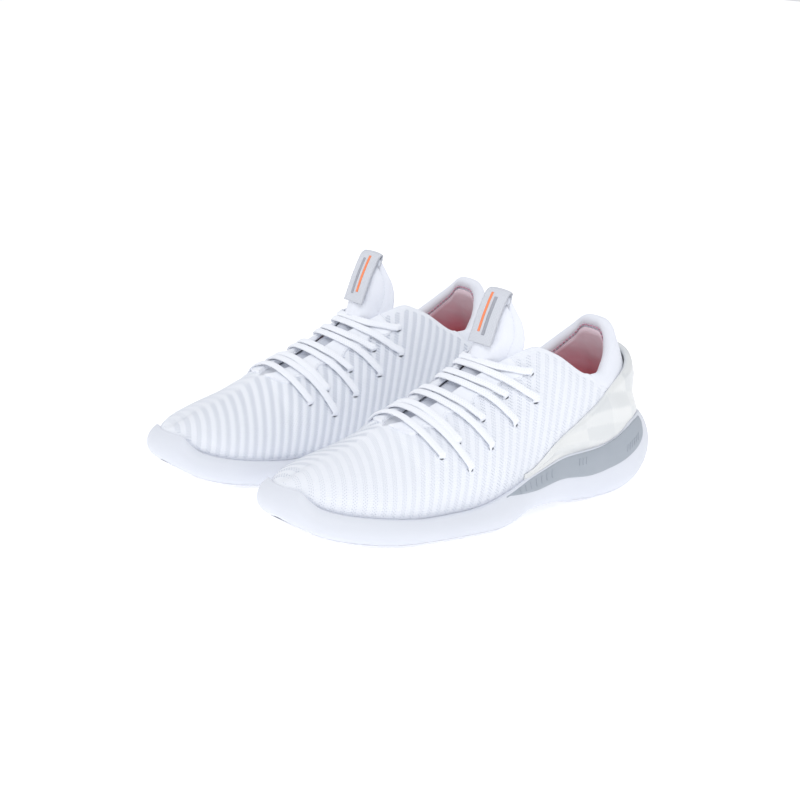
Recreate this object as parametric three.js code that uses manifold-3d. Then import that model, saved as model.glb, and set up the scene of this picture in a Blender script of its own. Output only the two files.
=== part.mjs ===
// A pair of knit cheer shoes: smooth one-piece sole, ribbed knit upper, padded tongue and collar,
// moulded heel strap, and a flat lace held along its whole length.
// Left-shoe frame, millimetres: +X lateral, -Y toes, +Z up, z = 0 on the ground. The right shoe is its mirror.
import * as THREE from 'three';
import Module from 'manifold-3d';

const wasm = await Module();
wasm.setup();

// ---------- driving dimensions, mm ----------
const soleLength = 281;          // toe tip to the back of the sole
const ballWidth = 108;           // widest place of the sole
const heelHeight = 110;          // ground to the peak of the heel collar
const shoeSpacing = 137;         // centre to centre of the pair
const toeOut = 1.1;              // degrees that each shoe turns its toes outwards

const clearance = 0.3;           // between pieces that fit each other
const looseFit = 0.8;            // between layers that lie on each other
const outsoleThickness = 3;
const knitThickness = 1.8;
const stiffenerThickness = 1.3;  // toe puff and heel counter
const liningThickness = 1.2;
const strobelThickness = 1.2;
const insoleThickness = 4.5;
const insoleCoverThickness = 1.0;
const collarThickness = 8;       // padded heel collar, outside face to inside face
const collarFabric = 1.0;
const eyestayThickness = 1.0;
const eyestayWidth = 15;
const tongueThickness = 3.2;
const flapThickness = 6;
const tabWidth = 19;
const tabThickness = 1.2;
const strapThickness = 2.2;
const strapStandOff = 4;         // gap between strap and collar at the top of the heel
const emblemThickness = 0.8;
const waveDepth = 3;             // the grey insert is let this far into the sole wall
const waveProud = 0.5;
const laceWidth = 5;
const laceThickness = 1.6;
const laceSides = 6;

// The profiles below are drawn for a base size and graded to the driving dimensions.
const grade = new THREE.Vector3(ballWidth / 108, soleLength / 281, heelHeight / 110);

// ---------- profiles along the shoe; station 0 is the toe tip, 1 the back of the heel ----------
/** A smooth curve through [station, value] pairs that never overshoots them. */
function profile(pairs) {
  const at = pairs.map((pair) => pair[0]);
  const value = pairs.map((pair) => pair[1]);
  const slope = at.slice(1).map((x, i) => (value[i + 1] - value[i]) / (x - at[i]));
  const tangent = at.map((x, i) => {
    const before = slope[i - 1] ?? 0;
    const after = slope[i] ?? 0;
    return before * after <= 0 ? 0 : (2 * before * after) / (before + after);
  });
  return (s) => {
    let i = 0;
    while (i < at.length - 2 && s > at[i + 1]) i += 1;
    const span = at[i + 1] - at[i];
    const t = THREE.MathUtils.clamp((s - at[i]) / span, 0, 1);
    const u = 1 - t;
    return value[i] * u * u * (1 + 2 * t) + value[i + 1] * t * t * (1 + 2 * u)
      + span * t * u * (tangent[i] * u - tangent[i + 1] * t);
  };
}

const toeCap = 0.33;             // stations over which the outline rounds off at each end
const heelCap = 0.27;
const centreLine = profile([[0, -4], [0.2, -3], [0.3, -0.5], [0.4, 2], [0.5, 3.5], [0.6, 3.5], [0.7, 1.5],
  [0.8, 0.5], [1, 0]]);
const halfWidth = profile([[0, 50], [0.2, 51], [0.3, 53], [0.38, 54], [0.45, 53.5], [0.5, 49.5],
  [0.55, 44], [0.62, 40.5], [0.7, 40], [1, 40]]);

// sole wall: how far in from the outline, and how high, its bottom edge and its rim are
const bottomInset = profile([[0, 20], [0.1, 16], [0.2, 11], [0.33, 6], [0.45, 5], [0.52, 6.5], [0.6, 9],
  [0.7, 11], [0.8, 15], [0.9, 22], [1, 26]]);
const bottomHeight = profile([[0, 13], [0.1, 9], [0.2, 3.5], [0.28, 0.5], [0.33, 0], [0.46, 0], [0.5, 1],
  [0.55, 5], [0.6, 4.5], [0.65, 1], [0.69, 0], [0.86, 0], [0.93, 1.5], [1, 3]]);
const rimInset = profile([[0, 8], [0.1, 7], [0.2, 5], [0.35, 4], [0.45, 5.5], [0.5, 5], [0.65, 3.5], [0.8, 6],
  [1, 7.5]]);
const rimHeight = profile([[0, 34], [0.07, 33.5], [0.105, 30], [0.14, 25], [0.2, 21], [0.28, 17.5], [0.36, 15],
  [0.42, 15], [0.46, 17], [0.5, 21], [0.56, 28.5], [0.62, 34.5], [0.68, 35.5], [0.72, 38.5], [0.76, 43.5],
  [0.8, 47.5], [0.86, 49], [1, 46.5]]);

// upper: floor inside the sole, feather edge, and the two shape handles of each section
const floorHeight = profile([[0, 22], [0.1, 19.5], [0.2, 15.5], [0.3, 12.5], [0.4, 12], [0.5, 14], [0.6, 18.5],
  [0.7, 23], [0.8, 25.5], [1, 27]]);
const featherInset = profile([[0, 15], [0.1, 14], [0.2, 12], [0.35, 11], [0.45, 12], [0.5, 11], [0.65, 9.5],
  [0.8, 10], [0.9, 10.5], [1, 11]]);
const lowerOut = profile([[0, 9], [0.1, 9], [0.2, 10], [0.35, 11], [0.5, 11], [0.6, 8], [0.7, 6], [0.8, 4],
  [1, 3]]);
const lowerUp = profile([[0, 8], [0.1, 9.5], [0.2, 14], [0.35, 18], [0.5, 24], [0.6, 28], [0.7, 26],
  [0.8, 22], [1, 18]]);
const upperOut = profile([[0, 10], [0.1, 14], [0.2, 21], [0.3, 26], [0.4, 26], [0.5, 27], [0.57, 24],
  [0.62, 16], [0.68, 9], [0.75, 8], [0.85, 9], [1, 7]]);
const upperDown = profile([[0, 3], [0.1, 2.5], [0.2, 2], [0.3, 2], [0.4, 3], [0.5, 8], [0.57, 12],
  [0.62, 15], [0.7, 16], [0.8, 25], [1, 27]]);

// top edge of the upper: the vamp ridge, then the throat, the lobe, the dip and the heel peak
const throatStart = 0.355;
const topCentre = profile([[0, -4], [0.1, -3.5], [0.2, -2.5], [0.3, -1], [0.36, 0], [1, 0]]);
const topOpen = profile([[0, 0], [throatStart, 0], [0.375, 5.5], [0.4, 7.5], [0.45, 8.5], [0.5, 9.5],
  [0.55, 13], [0.59, 18], [0.62, 22], [0.65, 27.5], [0.7, 32.5], [0.74, 33], [0.8, 29], [0.86, 22],
  [0.93, 11.5], [1, 0]]);
const topAlong = profile([[0, -122], [0.1, -115], [0.2, -101], [0.3, -81], [throatStart, -64.5],
  [0.4, -48.5], [0.45, -28.5], [0.5, -6.5], [0.55, 11.5], [0.59, 27.5], [0.62, 35.5], [0.65, 47.5],
  [0.7, 69.5], [0.74, 79.5], [0.8, 90.5], [0.86, 98.5], [0.93, 104], [1, 106.5]]);
const topHeight = profile([[0, 36], [0.1, 39], [0.2, 44.5], [0.3, 52], [throatStart, 59.5], [0.4, 63.5],
  [0.45, 71.5], [0.5, 82], [0.55, 91], [0.59, 98.5], [0.62, 101], [0.65, 96], [0.7, 82], [0.74, 83],
  [0.8, 90.5], [0.86, 99], [0.93, 106.5], [1, 110]]);
const dip = 0.7;                 // station of the lowest place of the topline
const collarFront = 0.72;
const knitTopAtHeel = profile([[dip, 82], [collarFront, 77], [0.76, 71], [0.8, 68], [1, 64]]);

const end = Math.PI / 2;
const up = new THREE.Vector3(0, 0, 1);

/** Stations past the toe or the heel carry on along the other side. */
function fold(side, s) {
  if (s < 0) return [-side, -s];
  return s > 1 ? [-side, 2 - s] : [side, s];
}

/** The widest outline of the sole, at ground level. */
function outline(sideIn, sIn) {
  const [side, s] = fold(sideIn, sIn);
  const cap = Math.sin(end * Math.min(1, s / toeCap)) * Math.sin(end * Math.min(1, (1 - s) / heelCap));
  const x = centreLine(s) + side * halfWidth(s) * cap;
  return new THREE.Vector3(x * grade.x, (-soleLength / 2) * Math.cos(Math.PI * s), 0);
}

/** Horizontal direction out of the outline. */
function outward(side, s) {
  const step = 1e-3;
  const along = outline(side, s + step).sub(outline(side, s - step));
  return along.cross(up).multiplyScalar(side).normalize();
}

function bezier(a, b, c, d, t) {
  const u = 1 - t;
  return new THREE.Vector3()
    .addScaledVector(a, u * u * u).addScaledVector(b, 3 * u * u * t)
    .addScaledVector(c, 3 * u * t * t).addScaledVector(d, t * t * t);
}

/** The outside face of the upper: v = 0 at the feather edge, 1 at the top edge. */
function upper(sideIn, sIn, v) {
  const [side, s] = fold(sideIn, sIn);
  const out = outward(side, s);
  const feather = outline(side, s).addScaledVector(out, -featherInset(s));
  feather.z = floorHeight(s) * grade.z + clearance;
  const top = new THREE.Vector3((topCentre(s) + side * topOpen(s)) * grade.x,
    topAlong(s) * grade.y, topHeight(s) * grade.z);
  const low = feather.clone().addScaledVector(out, lowerOut(s)).addScaledVector(up, lowerUp(s) * grade.z);
  const high = top.clone().addScaledVector(out, upperOut(s)).addScaledVector(up, -upperDown(s) * grade.z);
  if (v <= 1) return bezier(feather, low, high, top, v);
  return top.clone().addScaledVector(top.clone().sub(high), 3 * (v - 1));
}

/** The outside face of the sole wall: v = 0 at its bottom edge, 1 at its rim. */
function wall(sideIn, sIn, v) {
  const [side, s] = fold(sideIn, sIn);
  const out = outward(side, s);
  const rise = (rimHeight(s) - bottomHeight(s)) * grade.z;
  const foot = outline(side, s).addScaledVector(out, -bottomInset(s));
  foot.z = bottomHeight(s) * grade.z;
  const rim = outline(side, s).addScaledVector(out, -rimInset(s));
  rim.z = rimHeight(s) * grade.z;
  const bulge = (bottomInset(s) + rimInset(s)) / 6;   // brings the widest place onto the outline
  const low = outline(side, s).addScaledVector(out, bulge);
  low.z = foot.z + 0.16 * rise;
  const high = outline(side, s).addScaledVector(out, bulge);
  high.z = foot.z + 0.72 * rise;
  return bezier(foot, low, high, rim, v);
}

/** Direction out of a surface. On the centre plane it has no sideways part. */
function normalOf(surface, side, s, v) {
  const step = 1e-3;
  const facing = (which) => {
    const along = surface(which, s + step, v).sub(surface(which, s - step, v));
    const above = Math.min(1, v + step);
    const below = Math.max(0, Math.min(v, 1) - step);
    const rising = surface(which, s, above).sub(surface(which, s, below));
    return along.cross(rising).multiplyScalar(which).normalize();
  };
  const normal = facing(side);
  const onRidge = surface === upper && v >= 1 && s <= throatStart;
  if (onRidge) normal.add(facing(-side));
  if (onRidge || s <= 0 || s >= 1) normal.x = 0;
  return normal.normalize();
}

/** A point at depth d outside (or, below 0, inside) a surface. */
const offset = (surface, side, s, v, d) => surface(side, s, v).addScaledVector(normalOf(surface, side, s, v), d);

/** The v at which a surface reaches height z. */
function heightToV(surface, side, s, z) {
  let low = 0;
  let high = 1;
  for (let i = 0; i < 30; i += 1) {
    const middle = (low + high) / 2;
    if (surface(side, s, middle).z < z) low = middle;
    else high = middle;
  }
  return (low + high) / 2;
}

/** The v that lies a distance below the top edge, measured along the section. */
function belowTop(side, s, distance) {
  const steps = 24;
  let left = distance;
  let here = upper(side, s, 1);
  for (let i = 1; i <= steps; i += 1) {
    const next = upper(side, s, 1 - i / steps);
    const length = here.distanceTo(next);
    if (length > left) return 1 - (i - 1 + left / length) / steps;
    left -= length;
    here = next;
  }
  return 0;
}

// ---------- mesh helpers ----------
/** A closed solid from quads of points: shared points are merged and the faces turned outwards. */
function solid(quads) {
  const keys = new Map();
  const points = [];
  const idOf = (point) => {
    const key = `${Math.round(point.x * 1e4)},${Math.round(point.y * 1e4)},${Math.round(point.z * 1e4)}`;
    if (!keys.has(key)) {
      keys.set(key, points.length);
      points.push(point);
    }
    return keys.get(key);
  };
  const triangles = [];
  for (const quad of quads) {
    const [a, b, c, d] = quad.map(idOf);
    for (const t of [[a, b, c], [a, c, d]]) {
      if (t[0] !== t[1] && t[1] !== t[2] && t[2] !== t[0]) triangles.push(t);
    }
  }
  const volume = triangles.reduce((sum, [a, b, c]) => sum
    + points[a].dot(new THREE.Vector3().crossVectors(points[b], points[c])), 0);
  const index = triangles.flatMap(([a, b, c]) => (volume > 0 ? [a, b, c] : [a, c, b]));
  const geometry = new THREE.BufferGeometry();
  geometry.setAttribute('position', new THREE.Float32BufferAttribute(points.flatMap((p) => p.toArray()), 3));
  geometry.setIndex(index);
  return geometry;
}

/** A thick sheet between two grids of points, closed along its edges. */
function sheet(outer, inner, { loop = false, hasRim = () => true } = {}) {
  const rows = outer.length;
  const last = outer[0].length - 1;
  const quads = [];
  for (let i = 0; i < (loop ? rows : rows - 1); i += 1) {
    const k = (i + 1) % rows;
    for (let j = 0; j < last; j += 1) {
      quads.push([outer[i][j], outer[k][j], outer[k][j + 1], outer[i][j + 1]]);
      quads.push([inner[i][j], inner[i][j + 1], inner[k][j + 1], inner[k][j]]);
    }
    quads.push([outer[i][0], inner[i][0], inner[k][0], outer[k][0]]);
    if (hasRim(i, k)) quads.push([outer[i][last], outer[k][last], inner[k][last], inner[i][last]]);
  }
  if (!loop) {
    for (let j = 0; j < last; j += 1) {
      const z = rows - 1;
      quads.push([outer[0][j], outer[0][j + 1], inner[0][j + 1], inner[0][j]]);
      quads.push([outer[z][j], inner[z][j], inner[z][j + 1], outer[z][j + 1]]);
    }
  }
  return solid(quads);
}

/** A solid between the two sides: edge(side, s) gives one side's points from the bottom up. */
function loft(stations, edge) {
  const rings = stations.map((s) => [...edge(1, s), ...edge(-1, s).reverse()]);
  const count = rings[0].length;
  const quads = [];
  for (let i = 0; i < rings.length - 1; i += 1) {
    for (let j = 0; j < count; j += 1) {
      const k = (j + 1) % count;
      quads.push([rings[i][j], rings[i][k], rings[i + 1][k], rings[i + 1][j]]);
    }
  }
  for (let j = 0; j < count / 2 - 1; j += 1) {
    const z = rings[rings.length - 1];
    const far = count - 1 - j;
    quads.push([rings[0][j], rings[0][far], rings[0][far - 1], rings[0][j + 1]]);
    quads.push([z[j], z[j + 1], z[far - 1], z[far]]);
  }
  return solid(quads);
}

const range = (from, to, steps) => Array.from({ length: steps + 1 }, (_, i) => from + ((to - from) * i) / steps);

/** Stations along the lateral side, round the heel and back along the medial side. */
function roundHeel(list) {
  return [...list.map((s) => [1, s]), ...list.slice(0, -1).reverse().map((s) => [-1, s])];
}

/** Stations from the medial side round the toe to the lateral side. */
function roundToe(list) {
  return [...list.slice(1).reverse().map((s) => [-1, s]), ...list.map((s) => [1, s])];
}

/** All the way round the shoe. */
function roundShoe(list) {
  return [...list.map((s) => [1, s]), ...list.slice(1, -1).reverse().map((s) => [-1, s])];
}

/** A sheet lying on a surface: band(side, s) gives its v limits, depth(side, s, v) its faces. */
function layer(surface, stations, columns, band, depth, options) {
  const face = (which) => stations.map(([side, s]) => {
    const [v0, v1] = band(side, s);
    return range(v0, v1, columns).map((v) => offset(surface, side, s, v, depth(side, s, v)[which]));
  });
  return sheet(face(0), face(1), options);
}

const toManifold = (geometry) => new wasm.Manifold(new wasm.Mesh({
  numProp: 3,
  vertProperties: new Float32Array(geometry.attributes.position.array),
  triVerts: new Uint32Array(geometry.index.array),
}));

function fromManifold(manifold) {
  const mesh = manifold.getMesh();
  const geometry = new THREE.BufferGeometry();
  geometry.setAttribute('position', new THREE.Float32BufferAttribute(mesh.vertProperties, 3));
  geometry.setIndex(Array.from(mesh.triVerts));
  return geometry;
}

/** One geometry less several others, without the slivers that a cut leaves behind. */
function cut(geometry, ...tools) {
  const result = tools.reduce((body, tool) => body.subtract(toManifold(tool)), toManifold(geometry));
  const bodies = result.decompose().sort((a, b) => b.volume() - a.volume());
  return fromManifold(bodies[0]);
}

// ---------- sole ----------
const knitTop = (side, s) => (s <= dip ? 1 : heightToV(upper, side, s, knitTopAtHeel(s) * grade.z));
// pieces that lie on each other share their stations and columns, so that their facets match
const wholeShoe = [...range(0, throatStart, 9), ...range(throatStart, dip, 9).slice(1),
  ...range(dip, 1, 7).slice(1)];
const upperColumns = 6;

/** Part of the sole between two heights over its underside. */
function soleSlab(stations, from, to, columns) {
  return loft(stations, (side, s) => {
    const z = bottomHeight(s) * grade.z;
    const v0 = from > 0 ? heightToV(wall, side, s, z + from) : 0;
    const v1 = to === Infinity ? 1 : heightToV(wall, side, s, z + to);
    return range(v0, v1, columns).map((v) => wall(side, s, v));
  });
}

// each pad has its flat part between two stations, and curves up in front of it and behind it
const padStations = (front, flatFrom, flatTo, back) => [...range(front, flatFrom, 5),
  ...range(flatFrom, flatTo, 4).slice(1), ...range(flatTo, back, 5).slice(1)];
const outsoleForefoot = () => soleSlab(padStations(0.06, 0.33, 0.46, 0.49), 0, outsoleThickness, 1);
const outsoleHeel = () => soleSlab(padStations(0.63, 0.69, 0.86, 1), 0, outsoleThickness, 1);

/** Everything inside the outside face of the upper, and a clearance more. */
function insideOfUpper() {
  return loft(wholeShoe, (side, s) => {
    const heights = [...range(0, knitTop(side, s), upperColumns), 1];
    const points = heights.map((v) => offset(upper, side, s, v, clearance));
    points[0].z = floorHeight(s) * grade.z;
    return points;
  });
}

const waveFront = 0.49;
const waveBack = 0.83;
const waveBottom = profile([[waveFront, 19.5], [0.54, 18.8], [0.6, 21.5], [0.66, 19.5], [0.72, 21], [0.78, 27],
  [waveBack, 36]]);

/** The grey insert in the wall of the sole, or with a margin the pocket that it sits in. */
function waveBlock(side, margin) {
  const stations = range(waveFront, waveBack, 12);
  const heights = (s) => {
    const low = heightToV(wall, side, s, waveBottom(s) * grade.z);
    return range(Math.min(low, 0.95), 0.985, 3);
  };
  const shareOfLength = margin / soleLength;
  const grown = margin > 0;
  const rows = (depth) => (grown ? [waveFront - shareOfLength, ...stations, waveBack + shareOfLength] : stations)
    .map((s) => {
      const v = heights(THREE.MathUtils.clamp(s, waveFront, waveBack));
      const list = grown ? [v[0] - margin / 30, ...v, 1.05] : v;
      return list.map((at) => offset(wall, side, s, at, depth));
    });
  return sheet(rows(waveProud + 4 * margin), rows(-waveDepth - margin));
}

const waveInsert = (side) => cut(waveBlock(side, 0), insideOfUpper());
const midsole = () => cut(soleSlab(wholeShoe, outsoleThickness + clearance, Infinity, 4), insideOfUpper(),
  waveBlock(1, clearance), waveBlock(-1, clearance));

// ---------- inside the shoe ----------
const stiffenerOuter = -(knitThickness + looseFit);
const liningOuter = stiffenerOuter - laceThickness - 2 * looseFit;
const liningInner = liningOuter - liningThickness;

/** A board or pad over the whole floor of the shoe, between two heights over it. */
function floorLayer(stations, from, to, inset) {
  return loft(stations, (side, s) => [from, to].map((height) => {
    const z = floorHeight(s) * grade.z + height;
    const point = offset(upper, side, s, heightToV(upper, side, s, z), -inset);
    point.z = z;
    return point;
  }));
}

const strobelBottom = clearance;
const foamBottom = strobelBottom + strobelThickness + clearance;
const coverBottom = foamBottom + insoleThickness + clearance;
const insoleInset = -liningInner + 2.4;
const insoleStations = range(0.045, 0.975, 20);

const strobelBoard = () => floorLayer(wholeShoe, strobelBottom, strobelBottom + strobelThickness,
  knitThickness + looseFit + 0.8);
const insoleFoam = () => floorLayer(insoleStations, foamBottom, foamBottom + insoleThickness, insoleInset);
const insoleCover = () => floorLayer(insoleStations, coverBottom, coverBottom + insoleCoverThickness,
  insoleInset);

/** v of the underside of what stands on the strobel board. */
const overBoard = (side, s) => heightToV(upper, side, s, floorHeight(s) * grade.z + foamBottom);

function sockLining() {
  // it stops short of the lace holes, and comes closer to the top edge behind them
  const underHoles = eyestayWidth + laceWidth;
  const top = (side, s) => {
    if (s < throatStart - 0.02) return 1;
    if (s < collarFront) return belowTop(side, s, underHoles - 12 * Math.min(1, Math.max(0, s - 0.5) * 8));
    return heightToV(upper, side, s, (knitTopAtHeel(s) - 2) * grade.z);
  };
  const stations = roundShoe(wholeShoe);
  const openAt = (i) => stations[i][1] >= throatStart - 0.02;
  return layer(upper, stations, 3, (side, s) => [overBoard(side, s), top(side, s)],
    () => [liningOuter, liningInner], { loop: true, hasRim: (i, k) => openAt(i) || openAt(k) });
}

const toePuff = () => layer(upper, roundToe(wholeShoe.filter((s) => s < 0.2)), 4,
  (side, s) => [overBoard(side, s), 1], () => [stiffenerOuter, stiffenerOuter - stiffenerThickness],
  { hasRim: () => false });

const heelCounter = () => layer(upper, roundHeel(wholeShoe.filter((s) => s >= dip)), 4,
  (side, s) => [overBoard(side, s), heightToV(upper, side, s, (knitTopAtHeel(s) - 5) * grade.z)],
  () => [stiffenerOuter, stiffenerOuter - stiffenerThickness]);

// ---------- upper ----------
// stations and heights of the lace holes, from the toe end up; the first row has no outer hole
const innerHoles = [[0.4, 47], [0.435, 53.5], [0.478, 63.5], [0.528, 74.5], [0.582, 86.5]];
const outerHoles = [null, [0.435, 40], [0.474, 50], [0.523, 60.5], [0.572, 72]];
const holeLength = 7;

function holeAt(side, [s, z]) {
  return { side, s, v: heightToV(upper, side, s, z * grade.z) };
}

/** An oval cutter through the knit, its long way across the lace's travel. */
function holeCutter({ side, s, v }) {
  const centre = upper(side, s, v);
  const normal = normalOf(upper, side, s, v);
  const travel = upper(side, s, v + 0.01).sub(upper(side, s, v - 0.01)).normalize();
  const across = new THREE.Vector3().crossVectors(normal, travel).normalize();
  const geometry = new THREE.CylinderGeometry(1, 1, 2.5 * knitThickness, 6);
  geometry.scale((laceWidth + 3 * looseFit) / 2, 1, holeLength / 2);
  const matrix = new THREE.Matrix4().makeBasis(across, normal, across.clone().cross(normal));
  geometry.applyMatrix4(matrix.setPosition(centre));
  return solidFrom(geometry);
}

/** The geometry with its shared vertices merged, as a cutter or a body. */
function solidFrom(geometry) {
  const position = geometry.attributes.position;
  const index = geometry.index ? geometry.index.array : range(0, position.count - 1, position.count - 1);
  const quads = [];
  for (let i = 0; i < index.length; i += 3) {
    const [a, b, c] = [0, 1, 2].map((k) => new THREE.Vector3().fromBufferAttribute(position, index[i + k]));
    quads.push([a, b, c, c]);
  }
  return solid(quads);
}

function knitUpper() {
  const stations = roundShoe(wholeShoe);
  const isOpen = (i) => stations[i][1] > throatStart + 1e-6;
  const body = layer(upper, stations, upperColumns, (side, s) => [0, knitTop(side, s)], () => [0, -knitThickness],
    { loop: true, hasRim: (i, k) => isOpen(i) || isOpen(k) });
  const holes = [...innerHoles, ...outerHoles.slice(1)]
    .flatMap((hole) => [1, -1].map((side) => holeAt(side, hole)));
  return cut(body, ...holes.map(holeCutter), laceSolid(laceRoute(), clearance));
}

/** Smooth synthetic strip along one edge of the throat. */
const eyestayStations = [0.374, ...wholeShoe.filter((s) => s > 0.38 && s < 0.56), 0.566];
const eyestay = (side) => layer(upper, eyestayStations.map((s) => [side, s]), 3,
  (_, s) => [belowTop(side, s, eyestayWidth * Math.sin(end * Math.min(1, (s - 0.36) / 0.02))), 1],
  () => [looseFit / 2 + eyestayThickness, looseFit / 2]);

// ---------- tongue ----------
const tongueEnd = 0.548;         // station where the tongue leaves the throat
const tongueReach = 14;          // how far it lies under the knit on each side
const throatCrown = profile([[throatStart, -0.5], [0.42, 1.5], [0.5, 3.5], [0.55, 6.5]]);   // rise of its middle

/** A row of points across the throat at one station, at a depth under the knit. */
function acrossThroat(s, depth, rise, reach, columns) {
  const row = (side) => range(belowTop(side, s, reach), 1, columns)
    .map((v) => offset(upper, side, s, v, depth));
  const lateral = row(1);
  const medial = row(-1);
  const middle = lateral[columns].clone().add(medial[columns]).multiplyScalar(0.5);
  middle.z += rise;
  return [...lateral, middle, ...medial.reverse()];
}

function tongueBase() {
  const stations = range(throatStart + 0.012, tongueEnd, 9);
  const depth = knitThickness + 1.3 * looseFit;
  const rows = (below) => stations.map((s) => acrossThroat(s, -below, throatCrown(s), tongueReach, 3));
  return sheet(rows(depth), rows(depth + tongueThickness));
}

/** Small patch over the front end of the throat. */
function throatGusset() {
  const stations = range(throatStart - 0.012, throatStart + 0.014, 4);
  const rows = (depth) => stations.map((s) => acrossThroat(Math.min(s, throatStart + 0.03), depth, 0, 11, 3));
  const outer = rows(clearance + eyestayThickness);
  const inner = rows(clearance);
  return sheet(outer, inner);
}

// the padded flap above the lacing: its centre line, its half width and how far its sides wrap back
const hinge = new THREE.Vector3(0, 9, 98.5).multiply(grade);
const flapTop = new THREE.Vector3(0, 22, 133).multiply(grade);
const flapHalf = profile([[0, 17], [0.35, 19], [0.6, 17.5], [0.8, 13.5], [0.93, 10.5], [1, 8.5]]);
const flapWrap = profile([[0, 22], [0.35, 19], [0.6, 14], [0.8, 8], [1, 3]]);
const flapDrop = profile([[0, 9], [0.35, 7], [0.7, 4], [1, 2]]);

/** Front face of the flap: a across from -1 to 1, b from the hinge to the tip. */
function flapFront(a, b) {
  const round = 1 - Math.cos(end * a * 0.9);
  const centre = hinge.clone().lerp(flapTop, b);
  return new THREE.Vector3(flapHalf(b) * Math.sin(end * a * 0.9) / Math.sin(end * 0.9),
    centre.y + flapWrap(b) * round, centre.z - flapDrop(b) * round);
}

function flapPoint(a, b, depth) {
  const step = 1e-3;
  const across = flapFront(a + step, b).sub(flapFront(a - step, b));
  const rising = flapFront(a, Math.min(1, b + step)).sub(flapFront(a, Math.max(0, b - step)));
  const normal = across.cross(rising).normalize();
  return flapFront(a, b).addScaledVector(normal, depth);
}

/** A patch of the flap: reach(b) of its width, from(a) up to the tip, between two depths. */
function flapPatch(reach, from, front, back, columns, rows) {
  const grid = (depth) => range(0, 1, rows).map((t) => range(-1, 1, columns).map((a) => {
    const b = THREE.MathUtils.lerp(from(a), 1, t);
    return flapPoint(a * reach(b), b, depth(a));
  }));
  return sheet(grid(() => front), grid(back));
}

const flapStart = 0.035;         // just over the hinge; the sides reach further down
const tongueFlap = () => flapPatch(() => 1, (a) => flapStart - 0.24 * a * a, 0,
  (a) => -flapThickness * (1 - 0.55 * a * a), 10, 6);
const tabReach = (b) => Math.asin(Math.min(0.98, tabWidth / 2 / flapHalf(b))) / end / 0.9;
const tongueTab = () => flapPatch(tabReach, () => 0.1, looseFit + tabThickness, () => looseFit, 4, 5);

// ---------- heel ----------
const strapFront = 0.535;
const strapTop = profile([[strapFront, 29], [0.6, 44], [0.65, 54], [0.7, 64], [0.75, 72], [0.8, 77], [0.87, 83],
  [0.93, 88], [1, 91]]);
const strapBottom = (s) => rimHeight(s) + 1.9;   // clear of the rolled rim of the sole

/** How far the strap stands off the heel. */
function strapGap(side, s, v) {
  const height = upper(side, s, v).z / grade.z;
  const round = THREE.MathUtils.smoothstep(s, 0.74, 0.9);
  return looseFit + strapStandOff * round * THREE.MathUtils.smoothstep(height, 58, 92);
}

function strapBand(side, s) {
  const low = heightToV(upper, side, s, strapBottom(s) * grade.z);
  const high = heightToV(upper, side, s, Math.max(strapTop(s), strapBottom(s) + 2) * grade.z);
  return [low, high];
}

const strapStations = roundHeel([strapFront, ...wholeShoe.filter((s) => s > strapFront + 0.01)]);
const heelStrap = () => layer(upper, strapStations, 4, strapBand, (side, s, v) => {
  const gap = strapGap(side, s, v);
  return [gap + strapThickness, gap];
});

const emblemHeights = [68, 80];   // its lower and upper edge over the ground
const heelEmblem = () => layer(upper, roundHeel(range(0.95, 1, 2)), 3,
  (side, s) => emblemHeights.map((z) => heightToV(upper, side, s, z * grade.z)), (side, s, v) => {
    const gap = strapGap(side, s, v) + strapThickness + clearance;
    return [gap + emblemThickness, gap];
  });

/** Path over the padded collar, outside face to inside face, as points at a depth into it. */
function collarPath(side, s, inset, bottomOut, bottomIn) {
  const radius = collarThickness / 2 - inset;
  const length = upper(side, s, 1).distanceTo(upper(side, s, 0.9)) * 10;
  const top = 1 - collarThickness / 2 / length;
  const v0 = heightToV(upper, side, s, bottomOut);
  const v1 = heightToV(upper, side, s, bottomIn);
  const outside = range(Math.min(v0, top - 0.01), top, 2).map((v) => [v, -inset]);
  const over = range(0, Math.PI, 3).slice(1, -1)
    .map((t) => [top + (radius * Math.sin(t)) / length, -collarThickness / 2 + radius * Math.cos(t)]);
  const inside = range(top, Math.min(v1, top - 0.01), 2).map((v) => [v, inset - collarThickness]);
  return [...outside, ...over, ...inside].map(([v, d]) => offset(upper, side, s, v, d));
}

const collarInside = 72;         // height of the inside hem of the collar
const collarStations = roundHeel(wholeShoe.filter((s) => s >= collarFront));
const collarRows = (inset, lift) => collarStations.map(([side, s]) => collarPath(side, s, inset,
  (knitTopAtHeel(s) + lift) * grade.z, collarInside * grade.z));

const heelCollar = () => sheet(collarRows(0, 0.6), collarRows(collarFabric, 0.6));

function collarFoam() {
  const rows = collarRows(collarFabric + clearance, 1.2);
  const half = rows[0].length / 2;
  return sheet(rows.map((row) => row.slice(0, half)), rows.map((row) => row.slice(half).reverse()));
}

// ---------- lace ----------
const laceLift = looseFit / 2 + eyestayThickness + 1.5 * looseFit + laceThickness / 2;
const laceUnder = -(knitThickness + 2 * looseFit + laceThickness / 2);
const throatRise = 4.5;          // the lace bridges the throat this far over its edges

/** A point of the lace over or under the knit, with the direction that its flat side faces. */
function lacePoint(side, s, v, depth) {
  return { at: offset(upper, side, s, v, depth), facing: normalOf(upper, side, s, v) };
}

/** Points of one strand across the shoe between two holes, passing the throat at a station. */
function strand(from, to, crossing) {
  const half = ({ side, s, v }) => range(0, 1, 4).slice(1).map((t) => lacePoint(side,
    THREE.MathUtils.lerp(s, crossing, t), THREE.MathUtils.lerp(v, 1, t), laceLift));
  const out = half(from);
  const back = half(to).reverse();
  const middle = out[3].at.clone().add(back[0].at).multiplyScalar(0.5);
  middle.z += throatRise;
  const facing = out[3].facing.clone().add(back[0].facing).normalize();
  return [...out, { at: middle, facing }, ...back];
}

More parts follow.
